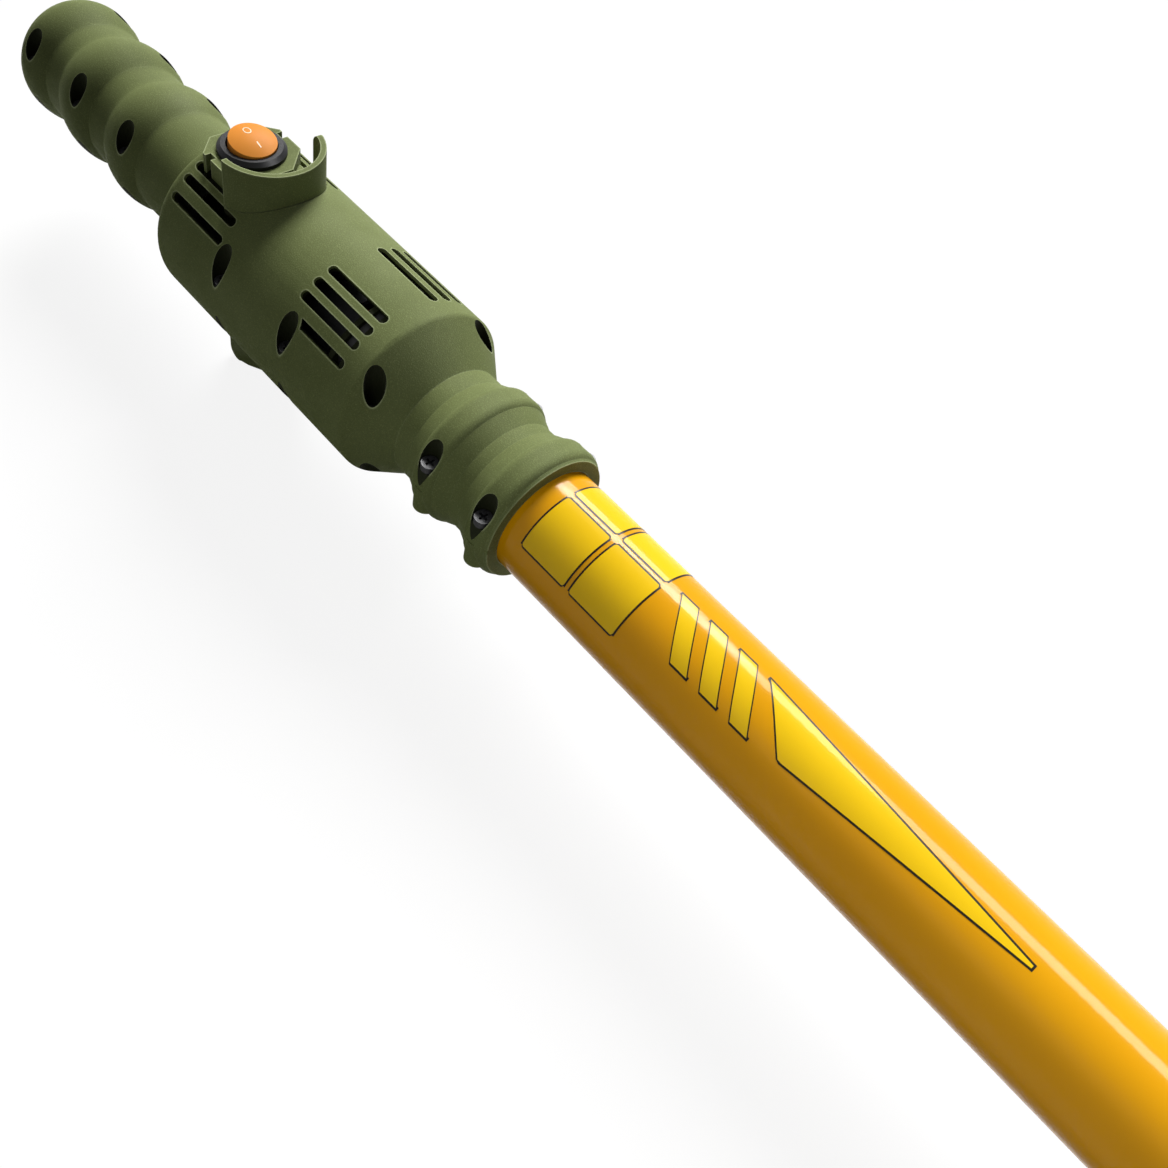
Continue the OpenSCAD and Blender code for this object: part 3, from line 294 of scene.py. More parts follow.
def area_lamp(name, target, offset, size, power):
    """A lamp of a width and a length that faces a station from an offset, with its length along the pole."""
    data = bpy.data.lights.new(name, "AREA")
    data.shape = "RECTANGLE"
    data.size_y, data.size = size
    data.energy = power
    lamp = new_object(name, data)
    back = offset.normalized()
    along = Vector((1, 0, 0))
    along = (along - back * along.dot(back)).normalized()
    axes = Matrix((along, back.cross(along), back)).transposed()
    lamp.matrix_world = Matrix.Translation(target + offset) @ axes.to_4x4()
    return lamp


key_data = bpy.data.lights.new("key_lamp", "SUN")
key_data.energy = KEY_STRENGTH
key_data.angle = KEY_DISC
key_lamp = new_object("key_lamp", key_data)
key_lamp.rotation_euler = KEY_FROM.to_track_quat("Z", "Y").to_euler()
strip_lamp = area_lamp("strip_lamp", STRIP_AIM, STRIP_FROM, STRIP_SIZE, STRIP_POWER)
strip_lamp.visible_diffuse = False
pole_fill = area_lamp("pole_fill", FILL_AIM, FILL_FROM, FILL_SIZE, FILL_POWER)
pole_fill.data.spread = FILL_SPREAD
pole_fill.visible_glossy = False

# %% [markdown]
# ## World
# The world adds a little white light from all sides. To the camera and to glossy surfaces it shows plain
# white, so the background is clean and the pole and the metal have something to mirror.

# %% World
WORLD_LIGHT = 0.055
WORLD_SEEN = 1.0

world = bpy.data.worlds.new("studio_white")
world.use_nodes = True
world_tree = world.node_tree
world_light = world_tree.nodes["Background"]
world_seen = world_tree.nodes.new("ShaderNodeBackground")
for background, strength in ((world_light, WORLD_LIGHT), (world_seen, WORLD_SEEN)):
    background.inputs["Color"].default_value = WHITE
    background.inputs["Strength"].default_value = strength
world_path = world_tree.nodes.new("ShaderNodeLightPath").outputs
world_mirror = mirror_ray(world_tree, world_path)
world_shown = math_node(world_tree, "MAXIMUM", world_path["Is Camera Ray"], world_mirror)
world_shader = mix_shader(world_tree, world_shown, world_light.outputs["Background"],
                          world_seen.outputs["Background"])
world_tree.links.new(world_shader, world_tree.nodes["World Output"].inputs["Surface"])
bpy.context.scene.world = world
bpy.context.scene.view_settings.view_transform = "Standard"
print("world nodes:", len(world_tree.nodes))

# %% [markdown]
# ## Shared surface effects
# What several finishes need is built once, as a shader node group with named inputs, and placed in every
# material that uses it. A copy of the nodes in each material would do too, but then a change has to be
# made many times.


# %% Effect helpers
def effect_group(name, inputs, outputs):
    """An empty shader group, with its input and output sockets; inputs are (label, socket type, value)."""
    group = bpy.data.node_groups.new(name, "ShaderNodeTree")
    for label, kind, value in inputs:
        socket = group.interface.new_socket(label, in_out="INPUT", socket_type=kind)
        if value is not None:
            socket.default_value = value
    for label, kind in outputs:
        group.interface.new_socket(label, in_out="OUTPUT", socket_type=kind)
    return group, group.nodes.new("NodeGroupInput").outputs, group.nodes.new("NodeGroupOutput").inputs


def effect(tree, group, **values):
    """A group placed in a material; the names of the values are its inputs, with _ for a space."""
    node = tree.nodes.new("ShaderNodeGroup")
    node.node_tree = group
    for label, value in values.items():
        feed(tree, value, node.inputs[label.replace("_", " ")])
    return node.outputs


def noise(tree, vector, scale, detail, roughness):
    """A noise value over a place."""
    node = tree.nodes.new("ShaderNodeTexNoise")
    node.inputs["Detail"].default_value = detail
    node.inputs["Roughness"].default_value = roughness
    tree.links.new(vector, node.inputs["Vector"])
    tree.links.new(scale, node.inputs["Scale"])
    return node.outputs["Fac"]


print("effect helpers:", effect_group.__name__, effect.__name__, noise.__name__)

# %% [markdown]
# ## Grain and drift
# Moulded and painted surfaces have fine pits: that is the grain, which drives a bump. The glints where
# pits catch the light are painted into the colour as pale specks from the same noise.
# Their tone also changes slowly over some centimetres: that is the drift, which blends two tones and
# gives a mask of the same flow for the gloss. Both are plain noise, at two very different scales.

# %% Grain and drift groups
PIT_SHAPE = {"detail": 2.0, "roughness": 0.6}
FLOW_SHAPE = {"detail": 4.0, "roughness": 0.55}
GLINT_LIMITS = (0.52, 0.72)
FLOW_LIMITS = (0.3, 0.7)

grain_glint_group, given, made = effect_group(
    "moulded_grain_and_glints",
    [("Vector", "NodeSocketVector", None), ("Grain Scale", "NodeSocketFloat", 2600.0)],
    [("Height", "NodeSocketFloat"), ("Painted Glint", "NodeSocketFloat")])
pits = noise(grain_glint_group, given["Vector"], given["Grain Scale"], **PIT_SHAPE)
painted_glints = ramp(grain_glint_group, pits, *GLINT_LIMITS)
grain_glint_group.links.new(pits, made["Height"])
grain_glint_group.links.new(painted_glints, made["Painted Glint"])

drift_group, given, made = effect_group(
    "tone_drift",
    [("Vector", "NodeSocketVector", None), ("Drift Scale", "NodeSocketFloat", 40.0),
     ("Tone A", "NodeSocketColor", (0.2, 0.2, 0.2, 1)), ("Tone B", "NodeSocketColor", (0.3, 0.3, 0.3, 1))],
    [("Color", "NodeSocketColor"), ("Mask", "NodeSocketFloat")])
flow = noise(drift_group, given["Vector"], given["Drift Scale"], **FLOW_SHAPE)
spread = ramp(drift_group, flow, *FLOW_LIMITS)
drift_tone = mix(drift_group, "RGBA", spread, given["Tone A"], given["Tone B"])
drift_group.links.new(drift_tone, made["Color"])
drift_group.links.new(spread, made["Mask"])
print("effect groups:", grain_glint_group.name, drift_group.name)

# %% [markdown]
# ## Painted edge highlights and crease shade
# The outer edges of the moulding get a painted highlight, and its inner corners get painted shade. The
# shape knows where they are: a normal that is rounded over a short radius differs from the true one only
# near an edge. Ambient occlusion then tells an open edge from a closed corner.

# %% Edge group
EDGE_ROUNDING = 0.0009
EDGE_LIMITS = (0.99, 0.85)
CORNER_REACH = 0.0015
OPEN_LIMITS = (0.75, 0.95)
EDGE_SAMPLES = 6

edge_group, given, made = effect_group(
    "painted_edge_highlight_and_shade",
    [("Radius", "NodeSocketFloat", EDGE_ROUNDING)],
    [("Mask", "NodeSocketFloat"), ("Crease", "NodeSocketFloat")])
rounded = edge_group.nodes.new("ShaderNodeBevel")
rounded.samples = EDGE_SAMPLES
edge_group.links.new(given["Radius"], rounded.inputs["Radius"])
facing = edge_group.nodes.new("ShaderNodeNewGeometry")
agree = vector_value(edge_group, "DOT_PRODUCT", rounded.outputs["Normal"], facing.outputs["Normal"])
any_edge = ramp(edge_group, agree, *EDGE_LIMITS)
openness = edge_group.nodes.new("ShaderNodeAmbientOcclusion")
openness.samples = EDGE_SAMPLES
openness.only_local = True
openness.inputs["Distance"].default_value = CORNER_REACH
convex = ramp(edge_group, openness.outputs["AO"], *OPEN_LIMITS)
# Open edges take the painted highlight, closed corners the painted shade.
open_edge = math_node(edge_group, "MULTIPLY", any_edge, convex)
crease = math_node(edge_group, "SUBTRACT", any_edge, open_edge)
edge_group.links.new(open_edge, made["Mask"])
edge_group.links.new(crease, made["Crease"])
print("effect group:", edge_group.name)

# %% [markdown]
# ## A finish from grain and drift
# Plastics, paints, rubbers and metals differ only in their tones, gloss and grain, so one function makes
# them all: the drift colours the surface, its mask shifts the gloss a little, and the grain drives a
# bump. The mirror value is how strongly the surface itself reflects, under any coat. Values that are the
# same all over are set on the shader itself, because the export keeps only those.

# %% Finish builder
PIT_DEPTH = 0.0002
METAL_MIRROR = 0.5
COAT_ROUGHNESS = 0.06


def finish(name, tone_a, tone_b, gloss, grain, metallic=0.0, coat=0.0, mirror=0.25, drift_scale=40.0,
           stretch=(1, 1, 1)):
    """A material; gloss is (roughest, smoothest), grain is (scale, bump, painted glints)."""
    material = bpy.data.materials.new(name)
    material.use_nodes = True
    tree = material.node_tree
    shader = tree.nodes["Principled BSDF"]
    mapping = tree.nodes.new("ShaderNodeMapping")
    mapping.inputs["Scale"].default_value = stretch
    tree.links.new(tree.nodes.new("ShaderNodeTexCoord").outputs["Object"], mapping.inputs["Vector"])
    place = mapping.outputs["Vector"]
    grain_scale, bump_strength, glint_strength = grain
    drift = effect(tree, drift_group, Vector=place, Drift_Scale=drift_scale, Tone_A=tone_a, Tone_B=tone_b)
    grain_and_glints = effect(tree, grain_glint_group, Vector=place, Grain_Scale=grain_scale)

    # Painted glints: the grain's noise screens the colour lighter where pits would catch the light.
    glint_amount = math_node(tree, "MULTIPLY", grain_and_glints["Painted Glint"], glint_strength)
    glinted_tone = mix(tree, "RGBA", glint_amount, drift["Color"], drift["Color"], blend="SCREEN")
    tree.links.new(glinted_tone, shader.inputs["Base Color"])
    sheen = ramp(tree, drift["Mask"], 0.0, 1.0, *gloss)
    tree.links.new(sheen, shader.inputs["Roughness"])
    bump = tree.nodes.new("ShaderNodeBump")
    bump.inputs["Strength"].default_value = bump_strength
    bump.inputs["Distance"].default_value = PIT_DEPTH
    tree.links.new(grain_and_glints["Height"], bump.inputs["Height"])
    tree.links.new(bump.outputs["Normal"], shader.inputs["Normal"])

    shader.inputs["Metallic"].default_value = metallic
    shader.inputs["Specular IOR Level"].default_value = METAL_MIRROR if metallic else mirror
    shader.inputs["Coat Weight"].default_value = coat
    shader.inputs["Coat Roughness"].default_value = COAT_ROUGHNESS
    return material


print("finish builder:", finish.__name__)

# %% [markdown]
# ## The finishes
# The handle is olive-green moulded plastic with a fine spark-eroded grain, whose glints are painted into
# the colour as tiny pale specks. The pole is glossy yellow enamel with a trace of orange peel. The switch
# is satin black with a glossy orange rocker. Metals inside get a stretched grain that runs along the
# turned or drawn surface.

# %% Finishes for every slot of the record
FINISHES = {
    "olive_shell": finish("olive_moulding", screen(100, 109, 66), screen(109, 118, 74), (0.68, 0.58),
                          (2600, 0.45, 0.6), mirror=0.04),
    "yellow_paint": finish("yellow_enamel", screen(216, 151, 0), screen(221, 156, 2), (0.26, 0.2),
                           (420, 0.03, 0.0), coat=0.16, mirror=0.03, drift_scale=12),
    "black_plastic": finish("black_satin", screen(24, 24, 26), screen(32, 32, 35), (0.42, 0.34),
                            (2200, 0.12, 0.1), mirror=0.1),
    "orange_rocker": finish("orange_gloss", screen(226, 142, 56), screen(231, 150, 64), (0.42, 0.36),
                            (900, 0.02, 0.0), mirror=0.03),
    "dark_screw": finish("black_oxide", screen(24, 24, 26), screen(34, 34, 36), (0.5, 0.4),
                         (1800, 0.15, 0.1), metallic=0.25),
    "terminal_brass": finish("terminal_brass", screen(196, 160, 84), screen(214, 180, 104), (0.36, 0.28),
                             (1500, 0.06, 0.0), metallic=1.0),
    "black_rubber": finish("black_rubber", screen(22, 22, 22), screen(30, 30, 30), (0.78, 0.66),
                           (1600, 0.2, 0.1)),
    "tip_rubber": finish("yellow_rubber", screen(226, 152, 22), screen(236, 164, 34), (0.7, 0.58),
                         (1500, 0.15, 0.1)),
    "steel": finish("turned_steel", screen(150, 152, 156), screen(172, 174, 178), (0.4, 0.3),
                    (1400, 0.08, 0.0), metallic=1.0, stretch=(0.08, 1, 1)),
    "bronze": finish("sintered_bronze", screen(178, 132, 76), screen(196, 150, 92), (0.5, 0.4),
                     (2400, 0.18, 0.1), metallic=1.0),
    "magnet": finish("ferrite", screen(44, 42, 42), screen(58, 56, 56), (0.62, 0.5),
                     (1800, 0.2, 0.1)),
    "copper": finish("lacquered_copper", screen(172, 96, 58), screen(192, 114, 72), (0.42, 0.3),
                     (700, 0.25, 0.0), metallic=0.9, stretch=(0.15, 1, 1)),
    "nylon": finish("natural_nylon", screen(222, 219, 208), screen(230, 228, 218), (0.5, 0.42),
                    (900, 0.05, 0.0)),
    "carbon": finish("carbon_rod", screen(24, 24, 26), screen(40, 40, 43), (0.5, 0.42),
                     (900, 0.06, 0.1), coat=0.05, stretch=(0.05, 1, 1)),
    "comb_plastic": finish("black_moulding", screen(30, 31, 32), screen(38, 39, 40), (0.6, 0.5),
                           (2400, 0.3, 0.2)),
}
print("finishes:", len(FINISHES))

# %% [markdown]
# ## Dressing the solids
# Each solid takes the finish of its slot in the record. A few share a slot but get another finish: the
# motor's shell and plates are near black as painted shade, so the vents stay dark, and the bolts that
# show at the head are blackened steel.

# %% Finishes on the solids
# Near black motor parts are painted shade that keeps the vents dark.
motor_shade_finish = finish("motor_steel_painted_shade", screen(30, 30, 31), screen(42, 42, 43), (0.6, 0.48), (1800, 0.15, 0.1))
OWN_FINISHES = {name: motor_shade_finish for name in ("motor_can", "motor_plate", "motor_end_bell")}
OWN_FINISHES.update({name: FINISHES["dark_screw"] for name in ("pivot_pin", "clamp_bolt", "clamp_nut")})

for part in frame["record"]["subparts"]:
    mesh = nodes[part["node"]].data
    mesh.materials.clear()
    mesh.materials.append(OWN_FINISHES.get(part["node"], FINISHES[part["material_slot"]]))

# %% [markdown]
# ## Where the screws are
# The screws of the handle sit at the bottom of deep round wells. Their axes could be typed in, but the
# screws are solids of the frame, so the axes are read from them: the mesh falls apart into islands, one
# for each screw, and the middle of an island is on its axis.

# %% Screw axes
SAME_PLACE = 1e-6


def islands(node):
    """The connected pieces of a solid, each as a list of vertex places in the order of its mesh."""
    shape = bmesh.new()
    shape.from_mesh(nodes[node].data)
    bmesh.ops.remove_doubles(shape, verts=shape.verts, dist=SAME_PLACE)
    shape.verts.index_update()
    left = set(shape.verts)
    found = []
    while left:
        piece, edge = set(), [next(iter(left))]
        while edge:
            vertex = edge.pop()
            if vertex not in piece:
                piece.add(vertex)
                edge += [link.other_vert(vertex) for link in vertex.link_edges]
        left -= piece
        found.append([v.co.copy() for v in sorted(piece, key=lambda v: v.index)])
    shape.free()
    return found


def middle(places, axis):
    """Half way between the lowest and the highest place along an axis."""
    values = [place[axis] for place in places]
    return (min(values) + max(values)) / 2


screw_axes = [(middle(piece, 0), middle(piece, 1)) for piece in islands("shell_screws")]
left_axes = sorted(axis for axis in screw_axes if axis[1] > 0)
print("screw wells:", len(screw_axes))

# %% [markdown]
# ## Painted shade in the screw wells and behind the vents
# The deep wells and the inside of the body are in shade, which is painted dark, so the wells read as dark
# ovals and the vents look dark too. The places are plain cylinders: a point of the shell within a well's
# radius of a screw's axis is on the wall of that well, and a point of the body that is nearer to the
# motor's axis than the outer skin is on its inside. The two sides are alike, so one row of axes is enough.

# %% Painted well shade
WELL_REACH = 0.0033
BODY_INSIDE = 0.0291
BODY_REAR, BODY_FRONT = station(-161.5, 0, 0).x, station(-66, 0, 0).x

well_shade_group, given, made = effect_group(
    "painted_well_shade",
    [("Vector", "NodeSocketVector", None), ("Reach", "NodeSocketFloat", WELL_REACH)],
    [("Mask", "NodeSocketFloat"), ("Away", "NodeSocketFloat")])
place = split(well_shade_group, given["Vector"])
plan = join(well_shade_group, X=place["X"], Y=math_node(well_shade_group, "ABSOLUTE", place["Y"]))
gaps = [vector_value(well_shade_group, "DISTANCE", plan, (x, y, 0)) for x, y in left_axes]
away = gaps[0]
for gap in gaps[1:]:
    away = math_node(well_shade_group, "MINIMUM", away, gap)
in_well = math_node(well_shade_group, "LESS_THAN", away, given["Reach"])

spoke = join(well_shade_group, Y=place["Y"], Z=place["Z"])
from_axis = vector_value(well_shade_group, "DISTANCE", spoke, (0, 0, POLE_AXIS_Z))
under_skin = math_node(well_shade_group, "LESS_THAN", from_axis, BODY_INSIDE)
body_middle, body_half = (BODY_REAR + BODY_FRONT) / 2, (BODY_FRONT - BODY_REAR) / 2
in_body = math_node(well_shade_group, "COMPARE", place["X"], body_middle, body_half)
painted_body_shade = math_node(well_shade_group, "MULTIPLY", under_skin, in_body)
# The mask is painted shade: the walls of the wells and the inside of the body.
well_shade_group.links.new(math_node(well_shade_group, "MAXIMUM", in_well, painted_body_shade), made["Mask"])
well_shade_group.links.new(away, made["Away"])
print("dirt group nodes:", len(well_shade_group.nodes))

# %% [markdown]
# ## Painted highlight and shade on the handle
# The olive moulding gets a painted highlight along its outer edges, painted shade in its inner corners,
# and the darkest painted shade in the wells and behind the vents. The tones are laid over the clean colour
# in that order. Where the two shells meet there is an edge too, but it is pressed shut, so it gets neither.

# %% Olive with painted highlight and shade
SEAM_REACH = 0.0009
CREASE_SHARE = 0.7
EDGE_HIGHLIGHT_TONE = screen(168, 178, 134)
PAINTED_SHADE_TONE = screen(36, 39, 25)

olive_tree = FINISHES["olive_shell"].node_tree
olive_shader = olive_tree.nodes["Principled BSDF"]
clean_tone = olive_shader.inputs["Base Color"].links[0].from_socket
olive_place = olive_tree.nodes.new("ShaderNodeTexCoord").outputs["Object"]
edge_light_and_shade = effect(olive_tree, edge_group)
well_shade = effect(olive_tree, well_shade_group, Vector=olive_place)
at_seam = math_node(olive_tree, "COMPARE", split(olive_tree, olive_place)["Z"], POLE_AXIS_Z, SEAM_REACH)
edge_highlight = math_node(olive_tree, "SUBTRACT", edge_light_and_shade["Mask"], at_seam, clamp=True)
corners = math_node(olive_tree, "SUBTRACT", edge_light_and_shade["Crease"], at_seam, clamp=True)
corner_shade = math_node(olive_tree, "MULTIPLY", corners, CREASE_SHARE)
all_painted_shade = math_node(olive_tree, "MAXIMUM", well_shade["Mask"], corner_shade)
# Painted highlight on the open edges first, then painted shade in the corners, wells and body.
highlighted_tone = mix(olive_tree, "RGBA", edge_highlight, clean_tone, EDGE_HIGHLIGHT_TONE)
shaded_tone = mix(olive_tree, "RGBA", all_painted_shade, highlighted_tone, PAINTED_SHADE_TONE)
olive_tree.links.new(shaded_tone, olive_shader.inputs["Base Color"])
print("olive material nodes:", len(olive_tree.nodes))

# %% [markdown]
# ## Soft valleys on the grip
# The bulges of a moulded grip flow into each other, while the solids meet in plain creases. Fillets could
# be cut in the CAD, but for the eye it is enough to ease the shading: a Bevel node takes the mean
# direction of the surface within a few millimetres. The wells and the parting seam keep their true
# direction, so they stay sharp.

# %% Soft valleys
GRIP_FRONT = station(-181, 0, 0).x
GRIP_FADE = 0.003
VALLEY_REACH = 0.005
VALLEY_SAMPLES = 10
WELL_LIMITS = (0.004, 0.008)
SEAM_LIMITS = (0.0035, 0.0065)

soft_group, given, made = effect_group(
    "soft_valleys",
    [("Vector", "NodeSocketVector", None), ("Away", "NodeSocketFloat", 1.0),
     ("Radius", "NodeSocketFloat", VALLEY_REACH)],
    [("Normal", "NodeSocketVector")])
place = split(soft_group, given["Vector"])
over_seam = math_node(soft_group, "SUBTRACT", place["Z"], POLE_AXIS_Z)
off_seam = ramp(soft_group, math_node(soft_group, "ABSOLUTE", over_seam), *SEAM_LIMITS)
off_wells = ramp(soft_group, given["Away"], *WELL_LIMITS)
on_grip = ramp(soft_group, place["X"], GRIP_FRONT, GRIP_FRONT - GRIP_FADE)
free = math_node(soft_group, "MULTIPLY", off_wells, off_seam)
share = math_node(soft_group, "MULTIPLY", free, on_grip)
eased = soft_group.nodes.new("ShaderNodeBevel")
eased.samples = VALLEY_SAMPLES
soft_group.links.new(given["Radius"], eased.inputs["Radius"])
true_normal = soft_group.nodes.new("ShaderNodeNewGeometry").outputs["Normal"]
soft_normal = mix(soft_group, "VECTOR", share, true_normal, eased.outputs["Normal"])
soft_group.links.new(soft_normal, made["Normal"])

valleys = effect(olive_tree, soft_group, Vector=olive_place, Away=well_shade["Away"])
olive_bump = olive_shader.inputs["Normal"].links[0].from_node
olive_tree.links.new(valleys["Normal"], olive_bump.inputs["Normal"])
print("soft group nodes:", len(soft_group.nodes))

# %% [markdown]
# ## Turning vertices into a piece
# Thin printed or moulded pieces are built from plain lists of vertices. One helper makes the object,
# points its faces outwards, smooths it and tells the frame which body carries it and which finish it
# shares. Another lists the faces of a thin slab, which is what every printed piece is.

# %% Piece helper
SHARP_ANGLE = math.radians(35)


def make_piece(name, vertices, faces, material, body, smooth=True):
    """A mesh object in the frame that rides on a body."""
    mesh = bpy.data.meshes.new(name)
    mesh.from_pydata([tuple(v) for v in vertices], [], faces)
    shape = bmesh.new()
    shape.from_mesh(mesh)
    bmesh.ops.recalc_face_normals(shape, faces=shape.faces)
    shape.to_mesh(mesh)
    shape.free()
    mesh.polygons.foreach_set("use_smooth", [smooth] * len(mesh.polygons))
    mesh.set_sharp_from_angle(angle=SHARP_ANGLE)
    mesh.materials.append(material)
    piece = new_object(name, mesh)
    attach(piece, body)
    return piece


def slab_faces(columns, rows):
    """Faces of a closed slab: a top grid and a bottom grid of (columns + 1) by (rows + 1) points."""
    count = (columns + 1) * (rows + 1)
    faces = []
    for i in range(columns):
        for j in range(rows):
            a = i * (rows + 1) + j
            quad = (a, a + 1, a + rows + 2, a + rows + 1)
            faces.append(quad)
            faces.append(tuple(count + v for v in reversed(quad)))
    rim = [(i * (rows + 1), (i + 1) * (rows + 1)) for i in range(columns)]
    rim += [(i * (rows + 1) + rows, (i + 1) * (rows + 1) + rows) for i in range(columns)]
    rim += [(j, j + 1) for j in range(rows)]
    rim += [(columns * (rows + 1) + j, columns * (rows + 1) + j + 1) for j in range(rows)]
    faces += [(a, b, count + b, count + a) for a, b in rim]
    return faces


print("faces of the smallest slab:", len(slab_faces(1, 1)))

# %% [markdown]
# ## Marks on the rocker
# The rocker carries a ring for off and a stroke for on, printed in a pale ink on its domed face. A flat
# decal would sink into the dome, so the marks are thin slabs whose points are lifted onto the dome's
# sphere. They are built in the rocker's own tilted plane and then turned with it about its pivot.

# %% Rocker marks, in millimetres
rocker_pivot = Vector(joints["rocker_tilt"]["pos_m"])
ROCKER_TILT = Matrix.Rotation(math.radians(9), 4, "Y")
DOME_RADIUS = 22.8
DOME_TOP = 4.905
MARK_PROUD = 0.05
MARK_SUNK = 0.12
RING_MIDDLE = -3.3
RING_LONG, RING_SHORT = 1.25, 0.95
RING_LINE = 0.32
RING_TURN = 2 * math.pi * 0.9999
STROKE_START, STROKE_LENGTH, STROKE_LINE = 2.2, 2.4, 0.4
RING_STEPS, STROKE_STEPS = 48, 6

ink = finish("pale_ink", screen(250, 222, 184), screen(252, 228, 194), (0.4, 0.34), (900, 0.02, 0.0))


def on_dome(x_mm, y_mm, lift):
    """A place on the rocker's dome, lifted along its pivot's upright, in the frame."""
    height = math.sqrt(DOME_RADIUS ** 2 - x_mm ** 2 - y_mm ** 2) - DOME_RADIUS + DOME_TOP + lift
    return rocker_pivot + ROCKER_TILT @ (Vector((x_mm, y_mm, height)) * MM)


def dome_slab(name, columns, rows, place):
    """A printed mark; place(u, v) gives its plan for u along and v across, both from 0 to 1."""
    plan = [place(i / columns, j / rows) for i in range(columns + 1) for j in range(rows + 1)]
    points = [on_dome(x, y, MARK_PROUD) for x, y in plan] + [on_dome(x, y, -MARK_SUNK) for x, y in plan]
    return make_piece(name, points, slab_faces(columns, rows), ink, "rocker", smooth=False)


def ring_plan(u, v):
    """The off ring: a slim oval behind the pivot, with a hair between its two ends."""
    turn = RING_TURN * u
    return (RING_MIDDLE + (RING_LONG + RING_LINE * v) * math.cos(turn),
            (RING_SHORT + RING_LINE * v) * math.sin(turn))


def stroke_plan(u, v):
    """The on stroke: a short bar in front of the pivot."""
    return (STROKE_START + STROKE_LENGTH * u, STROKE_LINE * (v - 0.5))


off_mark = dome_slab("off_ring", RING_STEPS, 1, ring_plan)
on_mark = dome_slab("on_stroke", STROKE_STEPS, 1, stroke_plan)
print("rocker marks:", off_mark.name, on_mark.name)

# %% [markdown]
# ## Films on the pole
# Next to the handle the pole carries printed films a few hundredths of a millimetre thick, wrapped round
# it. A film could be a texture, but a thin slab with its own finish stays sharp at any distance. For the
# dark outline, a slightly larger dark film lies under the yellow one.

# %% Film helpers, in millimetres
film_yellow = finish("film_yellow", screen(231, 188, 12), screen(235, 193, 17), (0.28, 0.22),
                     (420, 0.02, 0.0), coat=0.16, mirror=0.03, drift_scale=12)
film_black = finish("film_black", screen(22, 19, 12), screen(30, 26, 17), (0.34, 0.28),
                    (420, 0.02, 0.0), mirror=0.1)
OUTLINE = 0.6
LIFT_FOOT = 0.005
LIFT_BLACK = 0.03
LIFT_YELLOW = 0.06
FILM_COLUMNS, FILM_ROWS = 72, 14


def pole_film(name, x_span, edges, lift, material):
    """A film between two edges; edges(x) gives its low and high arc in millimetres from the pole's crown."""
    points = []
    for layer in (lift, LIFT_FOOT):
        radius = POLE_RADIUS + layer * MM
        for i in range(FILM_COLUMNS + 1):
            x = x_span[0] + (x_span[1] - x_span[0]) * i / FILM_COLUMNS
            low, high = edges(x)
            for j in range(FILM_ROWS + 1):
                turn = (low + (high - low) * j / FILM_ROWS) * MM / POLE_RADIUS
                points.append((HANDLE_FRONT + x * MM, -math.sin(turn) * radius,
                               POLE_AXIS_Z + math.cos(turn) * radius))
    return make_piece(name, points, slab_faces(FILM_COLUMNS, FILM_ROWS), material, "handle")


def outlined_film(name, x_span, edges):
    """A yellow film with a dark rim all round it."""
    def wider(x):
        inside = min(max(x, x_span[0]), x_span[1])
        low, high = edges(inside)
        return low - OUTLINE, high + OUTLINE
    wide_span = (x_span[0] - OUTLINE, x_span[1] + OUTLINE)
    pole_film(name + "_rim", wide_span, wider, LIFT_BLACK, film_black)
    pole_film(name, x_span, edges, LIFT_YELLOW, film_yellow)


print("faces of a film:", len(slab_faces(FILM_COLUMNS, FILM_ROWS)))

# %% [markdown]
# ## Fields, bars and flash
# Four plain fields with rounded corners sit next to the handle, and further out three slanted bars lead
# to a long tapering flash. All of them are one film whose two edges follow a small formula along the
# pole, so a new figure needs a new pair of edges and nothing else.

# %% Film outlines, in millimetres
FIELD_SPANS = ((7.2, 24.7), (27.1, 44.6))
FIELD_ARCS = ((0.9, 20.6), (-21.2, -1.5))
FIELD_CORNER = 0.8
FLASH_LOW, FLASH_HIGH = -2.5, 14.0
FLASH_SPAN = (83, 173)
FLASH_FALL, FLASH_RISE = 0.55, 0.4
BAR_COUNT, BAR_START, BAR_PITCH = 3, 50, 11
BAR_LENGTH, BAR_LEAN = 6, 12
LEAST_WIDTH = 0.01


def field(x_span, low, high):
    """Edges of a field with rounded corners."""
    def edges(x):
        to_end = min(x - x_span[0], x_span[1] - x, FIELD_CORNER)
        inset = FIELD_CORNER - math.sqrt(max(FIELD_CORNER ** 2 - (FIELD_CORNER - to_end) ** 2, 0))
        return low + inset, high - inset
    return edges


def bar(x_start):
    """Span and edges of a bar whose ends lean along the pole."""
    rise = (FLASH_HIGH - FLASH_LOW) / BAR_LEAN

    def edges(x):
        bottom = max(FLASH_LOW, FLASH_LOW + rise * (x - x_start - BAR_LENGTH))
        top = min(FLASH_HIGH, FLASH_LOW + rise * (x - x_start))
        return bottom, max(top, bottom + LEAST_WIDTH)
    return (x_start, x_start + BAR_LENGTH + BAR_LEAN), edges


def flash(x):
    """Edges of a long flash that leans at its start and runs out to a point."""
    x_start, x_end = FLASH_SPAN
    height = FLASH_HIGH - FLASH_LOW
    along = (x - x_start) / (x_end - x_start)
    top = min(FLASH_HIGH, FLASH_LOW + x - x_start) - height * FLASH_FALL * along
    bottom = FLASH_LOW + height * FLASH_RISE * along
    return bottom, max(top, bottom + LEAST_WIDTH)


